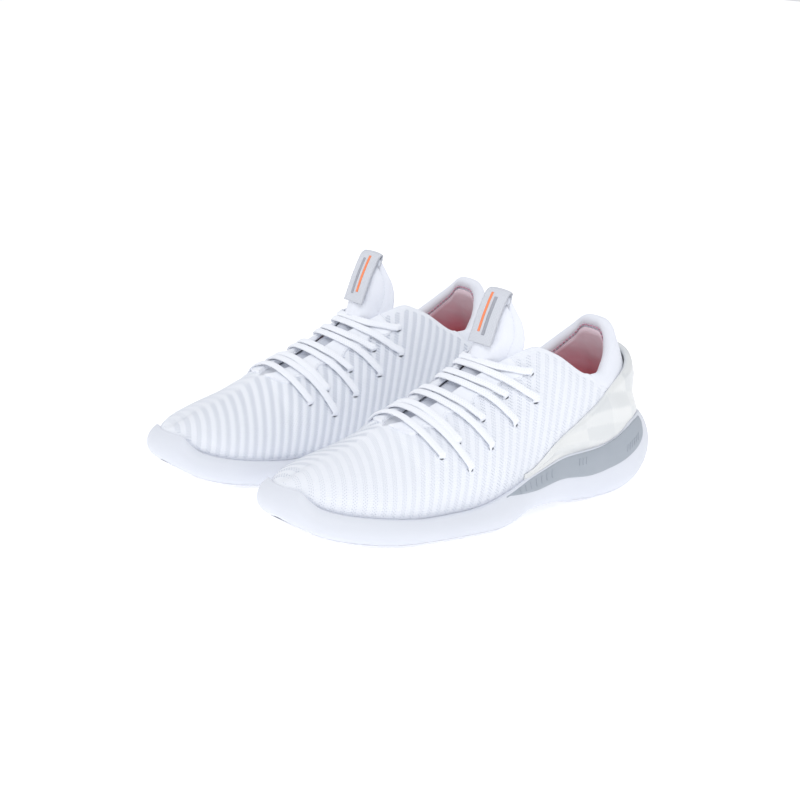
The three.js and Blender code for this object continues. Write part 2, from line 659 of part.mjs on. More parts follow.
/** The lace as it passes a hole, from under the knit to over it; at an outer hole it doubles back. */
function through({ side, s, v }, isOuter) {
  const edge = 0.012;
  const inside = isOuter ? [[3 * edge, laceUnder], [-edge, -1.2]] : [[-3 * edge, laceUnder], [0, -0.8]];
  return [...inside, [1.3 * edge, laceLift - 0.5]].map(([shift, depth]) => lacePoint(side, s, v + shift, depth));
}

// stations at which the strands pass the throat: one at the toe end, then side by side in pairs
const crossings = [[0.388], [0.4105, 0.4255], [0.4485, 0.4635], [0.4865, 0.5015], [0.5235, 0.5385]];

/** The whole route, from the tucked end at the top to the tucked end at the bottom. */
function laceRoute() {
  const points = [];
  const cross = (hole, crossing, from, isOuter) => {
    const start = holeAt(from, hole);
    const finish = holeAt(-from, hole);
    points.push(...through(start, isOuter), ...strand(start, finish, crossing),
      ...through(finish, isOuter).reverse());
  };
  for (let row = 4; row > 0; row -= 1) {
    cross(outerHoles[row], crossings[row][0], 1, true);
    cross(innerHoles[row], crossings[row][1], -1, false);
  }
  cross(innerHoles[0], crossings[0][0], 1, false);
  return points;
}

/** A flat oval cord along a list of points, grown by a margin. */
function laceSolid(points, margin) {
  const rings = [];
  let width = new THREE.Vector3(0, 1, 0);
  points.forEach(({ at: point, facing }, i) => {
    const next = points[Math.min(i + 1, points.length - 1)].at;
    const travel = next.clone().sub(points[Math.max(i - 1, 0)].at).normalize();
    const level = new THREE.Vector3().crossVectors(travel, facing);
    if (level.length() > 0.5) width = level.multiplyScalar(Math.sign(level.dot(width)));
    width = width.clone().addScaledVector(travel, -width.dot(travel)).normalize();
    const normal = new THREE.Vector3().crossVectors(width, travel);
    rings.push(range(0, laceSides - 1, laceSides - 1).map((k) => {
      const angle = (2 * Math.PI * k) / laceSides;
      return point.clone().addScaledVector(width, (laceWidth / 2 + margin) * Math.cos(angle))
        .addScaledVector(normal, (laceThickness / 2 + margin) * Math.sin(angle));
    }));
  });
  const quads = [];
  for (let i = 0; i < rings.length - 1; i += 1) {
    for (let k = 0; k < laceSides; k += 1) {
      const n = (k + 1) % laceSides;
      quads.push([rings[i][k], rings[i][n], rings[i + 1][n], rings[i + 1][k]]);
    }
  }
  for (let k = 1; k < laceSides - 1; k += 1) {
    const z = rings[rings.length - 1];
    quads.push([rings[0][0], rings[0][k + 1], rings[0][k], rings[0][k]]);
    quads.push([z[0], z[k], z[k + 1], z[k + 1]]);
  }
  return solid(quads);
}

const lace = () => laceSolid(laceRoute(), 0);

// ---------- materials and assembly ----------
const finish = (color, roughness) => new THREE.MeshStandardMaterial({ color, roughness, metalness: 0 });
const whiteKnit = finish('#f4f5f8', 0.9);
const whiteFoam = finish('#f2f3f7', 0.55);
const whiteRubber = finish('#eef0f4', 0.5);
const whiteTextile = finish('#f5f5f8', 0.8);
const whiteSynthetic = finish('#f6f6fa', 0.4);
const pearlStrap = finish('#e6e7e6', 0.35);
const greyFoam = finish('#a9b1b9', 0.55);
const greyTextile = finish('#c3c6ce', 0.8);
const pinkLining = finish('#c76f7c', 0.9);
const hiddenBoard = finish('#d8d2c4', 0.9);

const pieces = [
  ['outsole_forefoot', outsoleForefoot, whiteRubber], ['outsole_heel', outsoleHeel, whiteRubber],
  ['midsole', midsole, whiteFoam],
  ['wave_insert_lateral', () => waveInsert(1), greyFoam],
  ['wave_insert_medial', () => waveInsert(-1), greyFoam],
  ['strobel_board', strobelBoard, hiddenBoard], ['insole_foam', insoleFoam, hiddenBoard],
  ['insole_cover', insoleCover, pinkLining], ['sock_lining', sockLining, pinkLining],
  ['toe_puff', toePuff, hiddenBoard], ['heel_counter', heelCounter, hiddenBoard],
  ['knit_upper', knitUpper, whiteKnit],
  ['eyestay_lateral', () => eyestay(1), whiteSynthetic], ['eyestay_medial', () => eyestay(-1), whiteSynthetic],
  ['throat_gusset', throatGusset, greyTextile], ['tongue_base', tongueBase, greyTextile],
  ['tongue_flap', tongueFlap, whiteTextile], ['tongue_tab', tongueTab, greyTextile],
  ['collar_foam', collarFoam, hiddenBoard], ['heel_collar', heelCollar, whiteTextile],
  ['heel_strap', heelStrap, pearlStrap], ['heel_emblem', heelEmblem, greyTextile],
  ['lace', lace, whiteTextile],
];

const shapes = pieces.map(([name, make, material]) => [name, make(), material]);

/** One shoe of the pair. */
function shoe(prefix) {
  const group = new THREE.Group();
  for (const [name, geometry, material] of shapes) {
    const mesh = new THREE.Mesh(geometry, material);
    mesh.name = `${prefix}_${name}`;
    group.add(mesh);
  }
  return group;
}

const left = shoe('left');
left.position.x = shoeSpacing / 2;
left.rotation.z = THREE.MathUtils.degToRad(toeOut);
const right = shoe('right');
right.scale.x = -1;
right.position.x = -shoeSpacing / 2;
right.rotation.z = -left.rotation.z;

const pair = new THREE.Group();
pair.add(left, right);

// the origin is on the ground, in the middle of the pair's box
pair.updateMatrixWorld(true);
const box = new THREE.Box3().setFromObject(pair, true);
const middle = box.getCenter(new THREE.Vector3());
pair.position.set(-middle.x, -middle.y, -box.min.z);

export default pair;
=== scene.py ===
# %% [markdown]
# # A pair of knit cheer shoes
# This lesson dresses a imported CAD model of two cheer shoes. The frame gives the solids that MuJoCo
# collides with. Every visible piece is made again here as what it really is: ribbed knit, moulded foam,
# padded cloth, a pearly strap and a braided lace. The pair is a mirror image of itself, so each piece is
# made once for the left shoe, in millimetres, and then placed on both.

# %% Load the frame
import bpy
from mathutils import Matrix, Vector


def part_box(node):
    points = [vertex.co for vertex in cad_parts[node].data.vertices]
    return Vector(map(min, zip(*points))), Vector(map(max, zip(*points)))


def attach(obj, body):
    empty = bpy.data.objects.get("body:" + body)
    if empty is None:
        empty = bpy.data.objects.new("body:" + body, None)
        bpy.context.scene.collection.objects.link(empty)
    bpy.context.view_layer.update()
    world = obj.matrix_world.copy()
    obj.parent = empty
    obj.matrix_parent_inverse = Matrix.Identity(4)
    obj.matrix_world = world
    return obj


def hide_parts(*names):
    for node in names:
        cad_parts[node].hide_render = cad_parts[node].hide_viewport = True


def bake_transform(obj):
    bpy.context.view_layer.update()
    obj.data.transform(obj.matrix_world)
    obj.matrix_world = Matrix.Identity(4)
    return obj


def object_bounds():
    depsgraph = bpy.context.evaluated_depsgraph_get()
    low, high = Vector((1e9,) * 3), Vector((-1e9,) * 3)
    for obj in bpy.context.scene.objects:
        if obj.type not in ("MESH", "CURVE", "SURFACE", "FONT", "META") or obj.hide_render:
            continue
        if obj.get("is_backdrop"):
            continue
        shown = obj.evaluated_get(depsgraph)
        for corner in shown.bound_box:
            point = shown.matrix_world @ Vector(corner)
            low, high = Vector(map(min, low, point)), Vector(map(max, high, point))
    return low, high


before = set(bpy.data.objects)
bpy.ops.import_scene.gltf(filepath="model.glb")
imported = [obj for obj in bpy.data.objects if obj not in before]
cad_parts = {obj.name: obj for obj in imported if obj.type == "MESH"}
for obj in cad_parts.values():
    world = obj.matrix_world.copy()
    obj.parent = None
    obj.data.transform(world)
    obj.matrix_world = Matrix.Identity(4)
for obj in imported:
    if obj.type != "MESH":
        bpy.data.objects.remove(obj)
cad_box = [list(corner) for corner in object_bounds()]

import math
import bpy
import bmesh
import numpy as np
from mathutils import Matrix, Vector

for name in sorted(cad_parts):
    if name.startswith("left_"):
        low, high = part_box(name)
        print(name, [round((b - a) * 1000, 1) for a, b in zip(low, high)], "mm")

# %% [markdown]
# ## The shape of the shoe as curves
# A shoe is made on a last, so every section across it changes smoothly from toe to heel. A station runs
# from 0 at the toe tip to 1 at the back of the heel. Each measure of the last is a smooth curve over the
# stations, through a few known values. Writing them as functions, instead of pushing points by hand, lets
# every layer of the shoe follow the same form at its own depth.

# %% Curves along the shoe
SOLE_LENGTH = 281.0        # mm, toe tip to the back of the sole
KNIT = 1.8                 # thickness of the knit
FIT = 0.8                  # room between layers that lie on each other
UP = np.array([0.0, 0.0, 1.0])


def profile(pairs):
    """A smooth curve through (station, value) pairs that never overshoots them."""
    at, value = np.array(pairs, float).T
    slope = np.diff(value) / np.diff(at)
    before, after = slope[:-1], slope[1:]
    turns = before * after <= 0
    tangent = np.zeros(len(at))
    tangent[1:-1] = np.where(turns, 0, 2 * before * after / np.where(turns, 1, before + after))

    def curve(s):
        s = np.asarray(s, float)
        i = np.clip(np.searchsorted(at, s, side="left") - 1, 0, len(at) - 2)
        span = at[i + 1] - at[i]
        t = np.clip((s - at[i]) / span, 0, 1)
        u = 1 - t
        return (value[i] * u * u * (1 + 2 * t) + value[i + 1] * t * t * (1 + 2 * u)
                + span * t * u * (tangent[i] * u - tangent[i + 1] * t))
    return curve


centre_line = profile([(0, -4), (0.2, -3), (0.3, -0.5), (0.4, 2), (0.5, 3.5), (0.6, 3.5), (0.7, 1.5),
                       (0.8, 0.5), (1, 0)])
half_width = profile([(0, 50), (0.2, 51), (0.3, 53), (0.38, 54), (0.45, 53.5), (0.5, 49.5), (0.55, 44),
                      (0.62, 40.5), (0.7, 40), (1, 40)])
bottom_inset = profile([(0, 17), (0.1, 14), (0.2, 10.5), (0.33, 6), (0.45, 5), (0.52, 6.5), (0.6, 9),
                        (0.7, 11), (0.8, 15), (0.9, 22), (1, 26)])
bottom_height = profile([(0, 10.5), (0.1, 7), (0.2, 2.8), (0.28, 0.5), (0.33, 0), (0.46, 0), (0.5, 1),
                         (0.55, 5), (0.6, 4.5), (0.65, 1), (0.69, 0), (0.86, 0), (0.93, 1.5), (1, 3)])
rim_inset = profile([(0, 6.5), (0.1, 6), (0.2, 5), (0.35, 4), (0.45, 5.5), (0.5, 5), (0.65, 3.5), (0.8, 6),
                     (1, 7.5)])
rim_height = profile([(0, 33.5), (0.085, 33), (0.115, 28), (0.14, 24), (0.2, 20.5), (0.28, 17.5), (0.36, 15),
                      (0.42, 15), (0.46, 17), (0.5, 21), (0.56, 28.5), (0.62, 34.5), (0.68, 35.5), (0.72, 38.5),
                      (0.76, 43.5), (0.8, 47.5), (0.86, 49), (1, 46.5)])
floor_height = profile([(0, 22), (0.1, 19.5), (0.2, 15.5), (0.3, 12.5), (0.4, 12), (0.5, 14), (0.6, 18.5),
                        (0.7, 23), (0.8, 25.5), (1, 27)])
feather_inset = profile([(0, 15), (0.1, 14), (0.2, 12), (0.35, 11), (0.45, 12), (0.5, 11), (0.65, 9.5),
                         (0.8, 10), (0.9, 10.5), (1, 11)])
lower_out = profile([(0, 12.5), (0.1, 12), (0.2, 11), (0.35, 11), (0.5, 11), (0.6, 8), (0.7, 6), (0.8, 4),
                     (1, 3)])
lower_up = profile([(0, 10), (0.1, 11), (0.2, 14), (0.35, 18), (0.5, 24), (0.6, 28), (0.7, 26), (0.8, 22),
                    (1, 18)])
upper_out = profile([(0, 14.5), (0.1, 17.5), (0.2, 22.5), (0.3, 26), (0.4, 26), (0.5, 27), (0.57, 24),
                     (0.62, 16), (0.68, 9), (0.75, 8), (0.85, 9), (1, 7)])
upper_down = profile([(0, 3), (0.1, 2.5), (0.2, 2), (0.3, 2), (0.4, 3), (0.5, 8), (0.57, 12), (0.62, 15),
                      (0.7, 16), (0.8, 25), (1, 27)])
THROAT = 0.355             # station where the throat opens
DIP = 0.7                  # station of the lowest place of the topline
COLLAR_FRONT = 0.72
top_centre = profile([(0, -4), (0.1, -3.5), (0.2, -2.5), (0.3, -1), (0.36, 0), (1, 0)])
top_open = profile([(0, 0), (THROAT, 0), (0.375, 5.5), (0.4, 7.5), (0.45, 8.5), (0.5, 9.5), (0.55, 13),
                    (0.59, 18), (0.62, 22), (0.65, 27.5), (0.7, 32.5), (0.74, 33), (0.8, 29), (0.86, 22),
                    (0.93, 13.5), (0.97, 6.8), (1, 0)])
top_along = profile([(0, -122), (0.1, -115), (0.2, -101), (0.3, -81), (THROAT, -64.5), (0.4, -48.5),
                     (0.45, -28.5), (0.5, -6.5), (0.55, 11.5), (0.59, 27.5), (0.62, 35.5), (0.65, 47.5),
                     (0.7, 69.5), (0.74, 79.5), (0.8, 90.5), (0.86, 99.3), (0.93, 105.1), (0.97, 106.4),
                     (1, 106.5)])
top_height = profile([(0, 38), (0.1, 41.5), (0.2, 46), (0.3, 52), (THROAT, 59.5), (0.4, 63.5), (0.45, 71.5),
                      (0.5, 82), (0.55, 91), (0.59, 98.5), (0.62, 101), (0.65, 96), (0.7, 82), (0.74, 83),
                      (0.8, 90.5), (0.86, 99.5), (0.93, 107.8), (0.97, 110.2), (1, 110.6)])
knit_top_at_heel = profile([(DIP, 82), (COLLAR_FRONT, 77), (0.76, 71), (0.8, 68), (1, 64)])


# %% [markdown]
# ## Surfaces to build on
# Two surfaces carry nearly everything: the outside face of the upper, and the wall of the sole. Each takes
# a side (1 is the outer side of the foot, -1 the inner), a station, and a height share v from 0 at its
# bottom edge to 1 at its top. Numpy works out whole grids of points at once, which keeps the script quick.

# %% Upper and sole wall
def fold(side, s):
    """Stations past the toe or the heel carry on along the other side."""
    return (np.where((s < 0) | (s > 1), -side, side), np.where(s < 0, -s, np.where(s > 1, 2 - s, s)))


def outline(side, s):
    side, s = fold(np.asarray(side, float), np.asarray(s, float))
    cap = np.sin(np.pi / 2 * np.minimum(1, s / 0.33)) * np.sin(np.pi / 2 * np.minimum(1, (1 - s) / 0.27))
    x = centre_line(s) + side * half_width(s) * cap
    return np.stack([x, -SOLE_LENGTH / 2 * np.cos(np.pi * s), np.zeros_like(x)], -1)


def unit(v):
    return v / np.maximum(np.linalg.norm(v, axis=-1, keepdims=True), 1e-12)


def outward(side, s):
    along = outline(side, s + 1e-3) - outline(side, s - 1e-3)
    return unit(np.cross(along, UP) * np.asarray(side, float)[..., None])


def level(point, z):
    point = point.copy()
    point[..., 2] = z
    return point


def bezier(a, b, c, d, t):
    t = np.asarray(t, float)[..., None]
    u = 1 - t
    return a * u ** 3 + b * 3 * u * u * t + c * 3 * u * t * t + d * t ** 3


def upper(side, s, v):
    """The outside face of the upper: v = 0 at the feather edge, 1 at the top edge."""
    side, s = fold(np.asarray(side, float), np.asarray(s, float))
    v = np.asarray(v, float)
    out = outward(side, s)
    feather = level(outline(side, s) - out * feather_inset(s)[..., None], floor_height(s) + 0.3)
    top = np.stack([top_centre(s) + side * top_open(s), top_along(s), top_height(s)], -1)
    low = feather + out * lower_out(s)[..., None] + UP * lower_up(s)[..., None]
    high = top + out * upper_out(s)[..., None] - UP * upper_down(s)[..., None]
    past = np.maximum(v - 1, 0)[..., None]
    return bezier(feather, low, high, top, np.minimum(v, 1)) + (top - high) * 3 * past


def wall(side, s, v):
    """The outside face of the sole wall: v = 0 at its bottom edge, 1 at its rim."""
    side, s = fold(np.asarray(side, float), np.asarray(s, float))
    out = outward(side, s)
    base, foot_z = outline(side, s), bottom_height(s)
    rise = rim_height(s) - foot_z
    bulge = out * ((bottom_inset(s) + rim_inset(s)) / 6)[..., None]
    foot = level(base - out * bottom_inset(s)[..., None], foot_z)
    rim = level(base - out * rim_inset(s)[..., None], rim_height(s))
    return bezier(foot, level(base + bulge, foot_z + 0.16 * rise), level(base + bulge, foot_z + 0.72 * rise),
                  rim, v)


def normal_of(surface, side, s, v):
    """Direction out of a surface. On the centre plane it has no sideways part."""
    side, s, v = np.broadcast_arrays(np.asarray(side, float), np.asarray(s, float), np.asarray(v, float))

    def facing(which):
        along = surface(which, s + 1e-3, v) - surface(which, s - 1e-3, v)
        rising = surface(which, s, np.minimum(1, v + 1e-3)) - surface(which, s, np.clip(v, 0, 1) - 1e-3)
        return unit(np.cross(along, rising) * which[..., None])
    n = facing(side)
    ridge = (v >= 1) & (s <= THROAT) & (surface is upper)
    n = np.where(ridge[..., None], n + facing(-side), n)
    middle = ridge | (s <= 0) | (s >= 1)
    n[..., 0] = np.where(middle, 0, n[..., 0])
    return unit(n)


def offset(surface, side, s, v, depth):
    return surface(side, s, v) + normal_of(surface, side, s, v) * np.asarray(depth, float)[..., None]


def height_to_v(surface, side, s, z):
    """The v at which a surface reaches height z."""
    low = np.zeros(np.broadcast(side, s, z).shape)
    high = np.ones_like(low)
    for _ in range(24):
        middle = (low + high) / 2
        below = surface(side, s, middle)[..., 2] < z
        low, high = np.where(below, middle, low), np.where(below, high, middle)
    return (low + high) / 2


def distance_along(points):
    """Length along a row of points, from its first one. Works on many rows at once."""
    steps = np.linalg.norm(np.diff(points, axis=-2), axis=-1)
    return np.concatenate([np.zeros(steps.shape[:-1] + (1,)), np.cumsum(steps, axis=-1)], axis=-1)


def below_top(side, s, distance):
    """The v that lies a distance below the top edge, measured along the section."""
    steps = np.linspace(1, 0, 41)
    side, s, distance = np.broadcast_arrays(*(np.asarray(x, float) for x in (side, s, distance)))
    rail = upper(side[..., None], s[..., None], steps)
    run = distance_along(rail)
    flat = [np.interp(d, r, steps) for d, r in zip(distance.ravel(), run.reshape(-1, len(steps)))]
    return np.array(flat).reshape(s.shape)


def knit_top(side, s):
    return np.where(s <= DIP, 1.0, height_to_v(upper, side, s, knit_top_at_heel(s)))


print("toe tip", outline(1, 0.0).round(1), "heel peak", upper(1, 1.0, 1.0).round(1))

# %% [markdown]
# ## Meshes from grids
# A grid of points becomes a sheet of quads, and two grids with their edges joined become a closed skin
# with a real thickness. The edge between them is rounded by extra columns, because a cut edge of cloth or
# foam is never razor sharp. Shared points are merged, so that both halves of the toe become one surface.

# %% Skins between two grids
def mesh_of(name, points, quads, uv=None, merge=0.02, **values):
    """A mesh in millimetres. uv gives a pair per point, also in millimetres along the surface.
    Other named values give a number per point."""
    mesh = bpy.data.meshes.new(name)
    mesh.from_pydata(points.reshape(-1, 3).tolist(), [], [tuple(q) for q in quads])
    if uv is not None:
        layer = mesh.uv_layers.new(name="UVMap")
        corner = np.zeros(len(mesh.loops), np.int32)
        mesh.loops.foreach_get("vertex_index", corner)
        layer.data.foreach_set("uv", uv.reshape(-1, 2)[corner].ravel())
    for label, value in values.items():
        attribute = mesh.attributes.new(label, "FLOAT", "POINT")
        attribute.data.foreach_set("value", np.asarray(value, float).ravel())
    if merge:
        work = bmesh.new()
        work.from_mesh(mesh)
        bmesh.ops.remove_doubles(work, verts=work.verts, dist=merge)
        bmesh.ops.dissolve_degenerate(work, edges=work.edges, dist=1e-4)
        bmesh.ops.recalc_face_normals(work, faces=work.faces)
        if work.calc_volume(signed=True) < 0:
            bmesh.ops.reverse_faces(work, faces=work.faces)
        work.to_mesh(mesh)
        work.free()
    mesh.polygons.foreach_set("use_smooth", np.ones(len(mesh.polygons), bool))
    return mesh


def strip(rows, columns, loop=False, start=0):
    """Quads over a grid of points, row by row."""
    quads = []
    for i in range(rows if loop else rows - 1):
        a, b = start + i * columns, start + ((i + 1) % rows) * columns
        quads += [(a + j, b + j, b + j + 1, a + j + 1) for j in range(columns - 1)]
    return quads


def skin(name, section, uv=None, loop=False, closed=None, caps=True, **values):
    """A closed skin from rings of points, one ring per station.
    closed says, per row, whether the ring's last point joins its first there."""
    rows, count = section.shape[:2]
    quads = strip(rows, count, loop)
    closed = np.ones(rows, bool) if closed is None else closed
    for i in range(rows if loop else rows - 1):
        k = (i + 1) % rows
        if closed[i] or closed[k]:
            quads.append((i * count + count - 1, k * count + count - 1, k * count, i * count))
    if caps and not loop:
        quads.append(tuple(range(count)))
        quads.append(tuple(range((rows - 1) * count, rows * count))[::-1])
    return mesh_of(name, section, quads, uv, **values)


def both_sides(stations):
    """(side, s) for stations along the outer side, round the heel and back along the inner side."""
    return (np.concatenate([np.ones(len(stations)), -np.ones(len(stations) - 1)]),
            np.concatenate([stations, stations[-2::-1]]))


def all_round(stations):
    return (np.concatenate([np.ones(len(stations)), -np.ones(len(stations) - 2)]),
            np.concatenate([stations, stations[-2:0:-1]]))


# stations at even steps of real length, so that ribs and stitches keep their spacing
_fine = np.linspace(0, 1, 2001)
_run = distance_along(outline(1, _fine))
GIRTH = _run[-1]
station_at = lambda length: np.interp(length, _run, _fine)
length_at = lambda s: np.interp(s, _fine, _run)


def even(start, end, step):
    a, b = length_at(start), length_at(end)
    return station_at(np.linspace(a, b, max(2, int(round((b - a) / step)) + 1)))


print("one side measures", round(float(GIRTH)), "mm from toe to heel")

# %% [markdown]
# ## Colours and nodes
# Colours are written as the sRGB hex values a designer would pick, and one function turns them to the
# linear values that a shader adds up. Another small function adds any node, with its settings and links,
# to a material or to a Geometry Nodes tree, so each recipe below reads from top to bottom.

# %% Two small helpers
def colour(code):
    share = [int(code[i:i + 2], 16) / 255 for i in (1, 3, 5)]
    return [c / 12.92 if c <= 0.04045 else ((c + 0.055) / 1.055) ** 2.4 for c in share] + [1.0]


def add(tree, kind, inputs=None, **settings):
    """Adds a node. inputs maps a socket's name or number to a value, or to an output to link."""
    node = tree.nodes.new(kind)
    for key, value in settings.items():
        setattr(node, key, value)
    for key, value in (inputs or {}).items():
        if isinstance(value, bpy.types.NodeSocket):
            tree.links.new(value, node.inputs[key])
        else:
            node.inputs[key].default_value = value
    return node


def material(name, code, roughness, sheen=0.0, coat=0.0, ior=1.5, scatter=0.0):
    """A Principled material whose constants sit on the shader's own sockets."""
    made = bpy.data.materials.new(name)
    made.use_nodes = True
    shader = made.node_tree.nodes["Principled BSDF"]
    values = {"Base Color": colour(code), "Roughness": roughness, "IOR": ior, "Sheen Weight": sheen,
              "Sheen Roughness": 0.5, "Coat Weight": coat, "Coat Roughness": 0.25,
              "Subsurface Weight": scatter, "Subsurface Scale": 0.004}
    for key, value in values.items():
        shader.inputs[key].default_value = value
    made.diffuse_color = colour(code)
    return made, made.node_tree, shader


def surface_mm(tree, source="UV"):
    """Coordinates in millimetres: the piece's own UV map, or its place in the shoe."""
    where = add(tree, "ShaderNodeTexCoord").outputs
    if source == "UV":
        return where["UV"]
    in_mm = add(tree, "ShaderNodeMapping", {"Vector": where["Object"], "Scale": (1000,) * 3})
    return in_mm.outputs["Vector"]


def waves(tree, vector, period, direction="X", waviness=0.0):
    """Even bands, period millimetres apart."""
    return add(tree, "ShaderNodeTexWave", {"Vector": vector, "Scale": math.pi / 10 / period,
               "Distortion": waviness, "Detail": 1.0, "Detail Scale": 1.0},
               bands_direction=direction).outputs["Fac"]


def noise(tree, vector, size, detail=3.0):
    """Soft cloudy variation with lumps about size millimetres across."""
    clouds = add(tree, "ShaderNodeTexNoise", {"Vector": vector, "Scale": 1 / size, "Detail": detail})
    return clouds.outputs["Fac"]


def mixed(tree, share, first, second):
    """A colour between two, by a share."""
    blend = add(tree, "ShaderNodeMix", {0: share}, data_type="RGBA")
    for socket, value in ((blend.inputs[6], first), (blend.inputs[7], second)):
        if isinstance(value, bpy.types.NodeSocket):
            tree.links.new(value, socket)
        else:
            socket.default_value = colour(value)
    return blend.outputs[2]


def emboss(tree, shader, height, depth_mm, strength=1.0):
    """Bump whose full height is depth_mm."""
    bump = add(tree, "ShaderNodeBump",
               {"Height": height, "Distance": depth_mm / 1000, "Strength": strength})
    tree.links.new(bump.outputs["Normal"], shader.inputs["Normal"])


def calc(tree, operation, a, b=0.0, clamp=False):
    return add(tree, "ShaderNodeMath", {0: a, 1: b}, operation=operation, use_clamp=clamp).outputs[0]


# %% [markdown]
# ## Cloth finishes
# The upper is a polyester knit: matt, slightly cool white, made of yarn loops about 1.2 mm high and 1.1 mm
# wide. Loops that fine are drawn as bump from two crossed waves in the piece's UV map, which is measured in
# millimetres. The collar and the tongue wear a much smoother brushed polyester. Webbing has a rib across
# its width, and the lace is a braid with slanted yarns.

# %% Knit, smooth textile, webbing and lace
ribbed_knit, tree, shader = material("ribbed polyester knit", "#EEF1FA", 0.86, sheen=0.12)
place = surface_mm(tree)
loops = calc(tree, "MULTIPLY", waves(tree, place, 1.2, "Y", 0.6), waves(tree, place, 1.1, "X", 0.4))
tree.links.new(mixed(tree, loops, "#EDF0F8", "#FAFCFF"), shader.inputs["Base Color"])
emboss(tree, shader, loops, 0.35, 0.55)

# painted shade: flat grey discs stand for the shade inside the knit's holes
knit_hole_shade, tree, shader = material("shadow inside a knit hole", "#C6CBD7", 0.95)
place = surface_mm(tree, "Object")
tree.links.new(mixed(tree, noise(tree, place, 1.5), "#B1B8C6", "#CACFDB"), shader.inputs["Base Color"])

smooth_textile, tree, shader = material("brushed polyester", "#F0F2FA", 0.72, sheen=0.2)
place = surface_mm(tree, "Object")
weave = calc(tree, "ADD", calc(tree, "MULTIPLY", waves(tree, place, 0.9, "DIAGONAL"), 0.5),
             noise(tree, place, 1.6))
tree.links.new(mixed(tree, noise(tree, place, 14), "#E6E9F2", "#EFF1F8"), shader.inputs["Base Color"])
emboss(tree, shader, weave, 0.12, 0.5)

grey_webbing, tree, shader = material("woven polyester tape", "#C9CCD5", 0.78, sheen=0.15)
place = surface_mm(tree)
ribs = calc(tree, "MULTIPLY", waves(tree, place, 0.9, "Y"), waves(tree, place, 1.3, "X"))
tree.links.new(mixed(tree, ribs, "#CDD0D8", "#DEE0E7"), shader.inputs["Base Color"])
emboss(tree, shader, ribs, 0.2, 0.6)

grey_tongue, tree, shader = material("satin tongue fabric", "#CDD1DC", 0.55, sheen=0.15)
place = surface_mm(tree)
ribs = waves(tree, place, 0.8, "Y", 0.3)
tree.links.new(mixed(tree, noise(tree, place, 9), "#C5CAD6", "#D6D9E3"), shader.inputs["Base Color"])
emboss(tree, shader, ribs, 0.1, 0.5)

flat_braid, tree, shader = material("braided polyester lace", "#F0F3FC", 0.75, sheen=0.15)
place = surface_mm(tree)
slant, other = (add(tree, "ShaderNodeMapping", {"Vector": place, "Rotation": (0, 0, math.radians(turn))}
                    ).outputs["Vector"] for turn in (35, -35))
braid = calc(tree, "MAXIMUM", waves(tree, slant, 1.3, "X"), waves(tree, other, 1.3, "X"))
tree.links.new(mixed(tree, braid, "#EAEDF6", "#F8FAFF"), shader.inputs["Base Color"])
emboss(tree, shader, braid, 0.2, 0.5)

sewing_thread, tree, shader = material("polyester sewing thread", "#E3E6EF", 0.6, sheen=0.2)
place = surface_mm(tree, "Object")
tree.links.new(mixed(tree, waves(tree, place, 0.5, "DIAGONAL"), "#D3D7E2", "#F0F2F8"),
               shader.inputs["Base Color"])

rose_thread, tree, shader = material("rose sewing thread", "#C98AA2", 0.6, sheen=0.2)
place = surface_mm(tree, "Object")
tree.links.new(mixed(tree, waves(tree, place, 0.5, "DIAGONAL"), "#BE7590", "#D79BB0"),
               shader.inputs["Base Color"])

# %% [markdown]
# ## The lining
# Inside, the shoe turns from a pale rose at the collar to a deep coral red low down. The insole cloth is
# really red; on the lining the deepening is painted shade and painted red light thrown back by the insole.
# The change follows the height in the shoe, so the material reads the Z of Object coordinates and spreads it
# over a colour ramp. Soft noise gives it its creases, and shifts the ramp so that the crease hollows come
# out darker as painted shade.

# %% Lining cloth
rose_lining, tree, shader = material("rose brushed tricot", "#C9707C", 0.85, sheen=0.2)
place = surface_mm(tree, "Object")
height = add(tree, "ShaderNodeSeparateXYZ", {0: place}).outputs["Z"]
stretched = add(tree, "ShaderNodeMapping", {"Vector": place, "Scale": (1, 0.4, 1.6)}).outputs["Vector"]
creases_and_crease_shade = noise(tree, stretched, 16, 2.0)
# painted shade: lower down the lining is deeper and redder, and the crease hollows shift towards the dark end
depth_shade_level = calc(tree, "ADD", height, calc(tree, "MULTIPLY", creases_and_crease_shade, 16.0))
share = add(tree, "ShaderNodeMapRange", {"Value": depth_shade_level, "From Min": 62.0, "From Max": 98.0})
depth_shade_ramp = add(tree, "ShaderNodeValToRGB", {0: share.outputs[0]})
stops = depth_shade_ramp.color_ramp.elements
stops[0].position, stops[0].color = 0.0, colour("#D63C48")
stops[1].position, stops[1].color = 1.0, colour("#EDD6DF")
for position, code in ((0.3, "#DA6670"), (0.55, "#E09FAE"), (0.8, "#E6C2CD")):
    stop = stops.new(position)
    stop.color = colour(code)
tree.links.new(depth_shade_ramp.outputs["Color"], shader.inputs["Base Color"])
emboss(tree, shader, creases_and_crease_shade, 1.2, 0.6)

# %% [markdown]
# ## Moulded finishes
# The sole is one piece of EVA foam, pressed in a polished mould, so it is smooth and half matt with a very
# fine skin. The grey insert is the same foam in another colour. The heel strap is a translucent, pearly
# TPU with a soft gloss. The strips beside the throat are a coated synthetic leather. All four are plastics,
# so their IOR stays near 1.5 and the roughness tells them apart.

# %% Foam, rubber, pearly strap and synthetic leather
white_foam, tree, shader = material("moulded EVA foam, white", "#E1E4EC", 0.5, ior=1.45)
place = surface_mm(tree, "Object")
skin_grain = noise(tree, place, 0.7, 2.0)
tree.links.new(mixed(tree, noise(tree, place, 40), "#DADDE6", "#E1E4EB"), shader.inputs["Base Color"])
emboss(tree, shader, skin_grain, 0.05, 0.4)

tread_rubber, tree, shader = material("moulded rubber, white", "#E6E8F0", 0.6)
place = surface_mm(tree, "Object")
tree.links.new(mixed(tree, noise(tree, place, 25), "#E0E2EA", "#ECEEF4"), shader.inputs["Base Color"])
emboss(tree, shader, noise(tree, place, 0.9, 2.0), 0.08, 0.5)

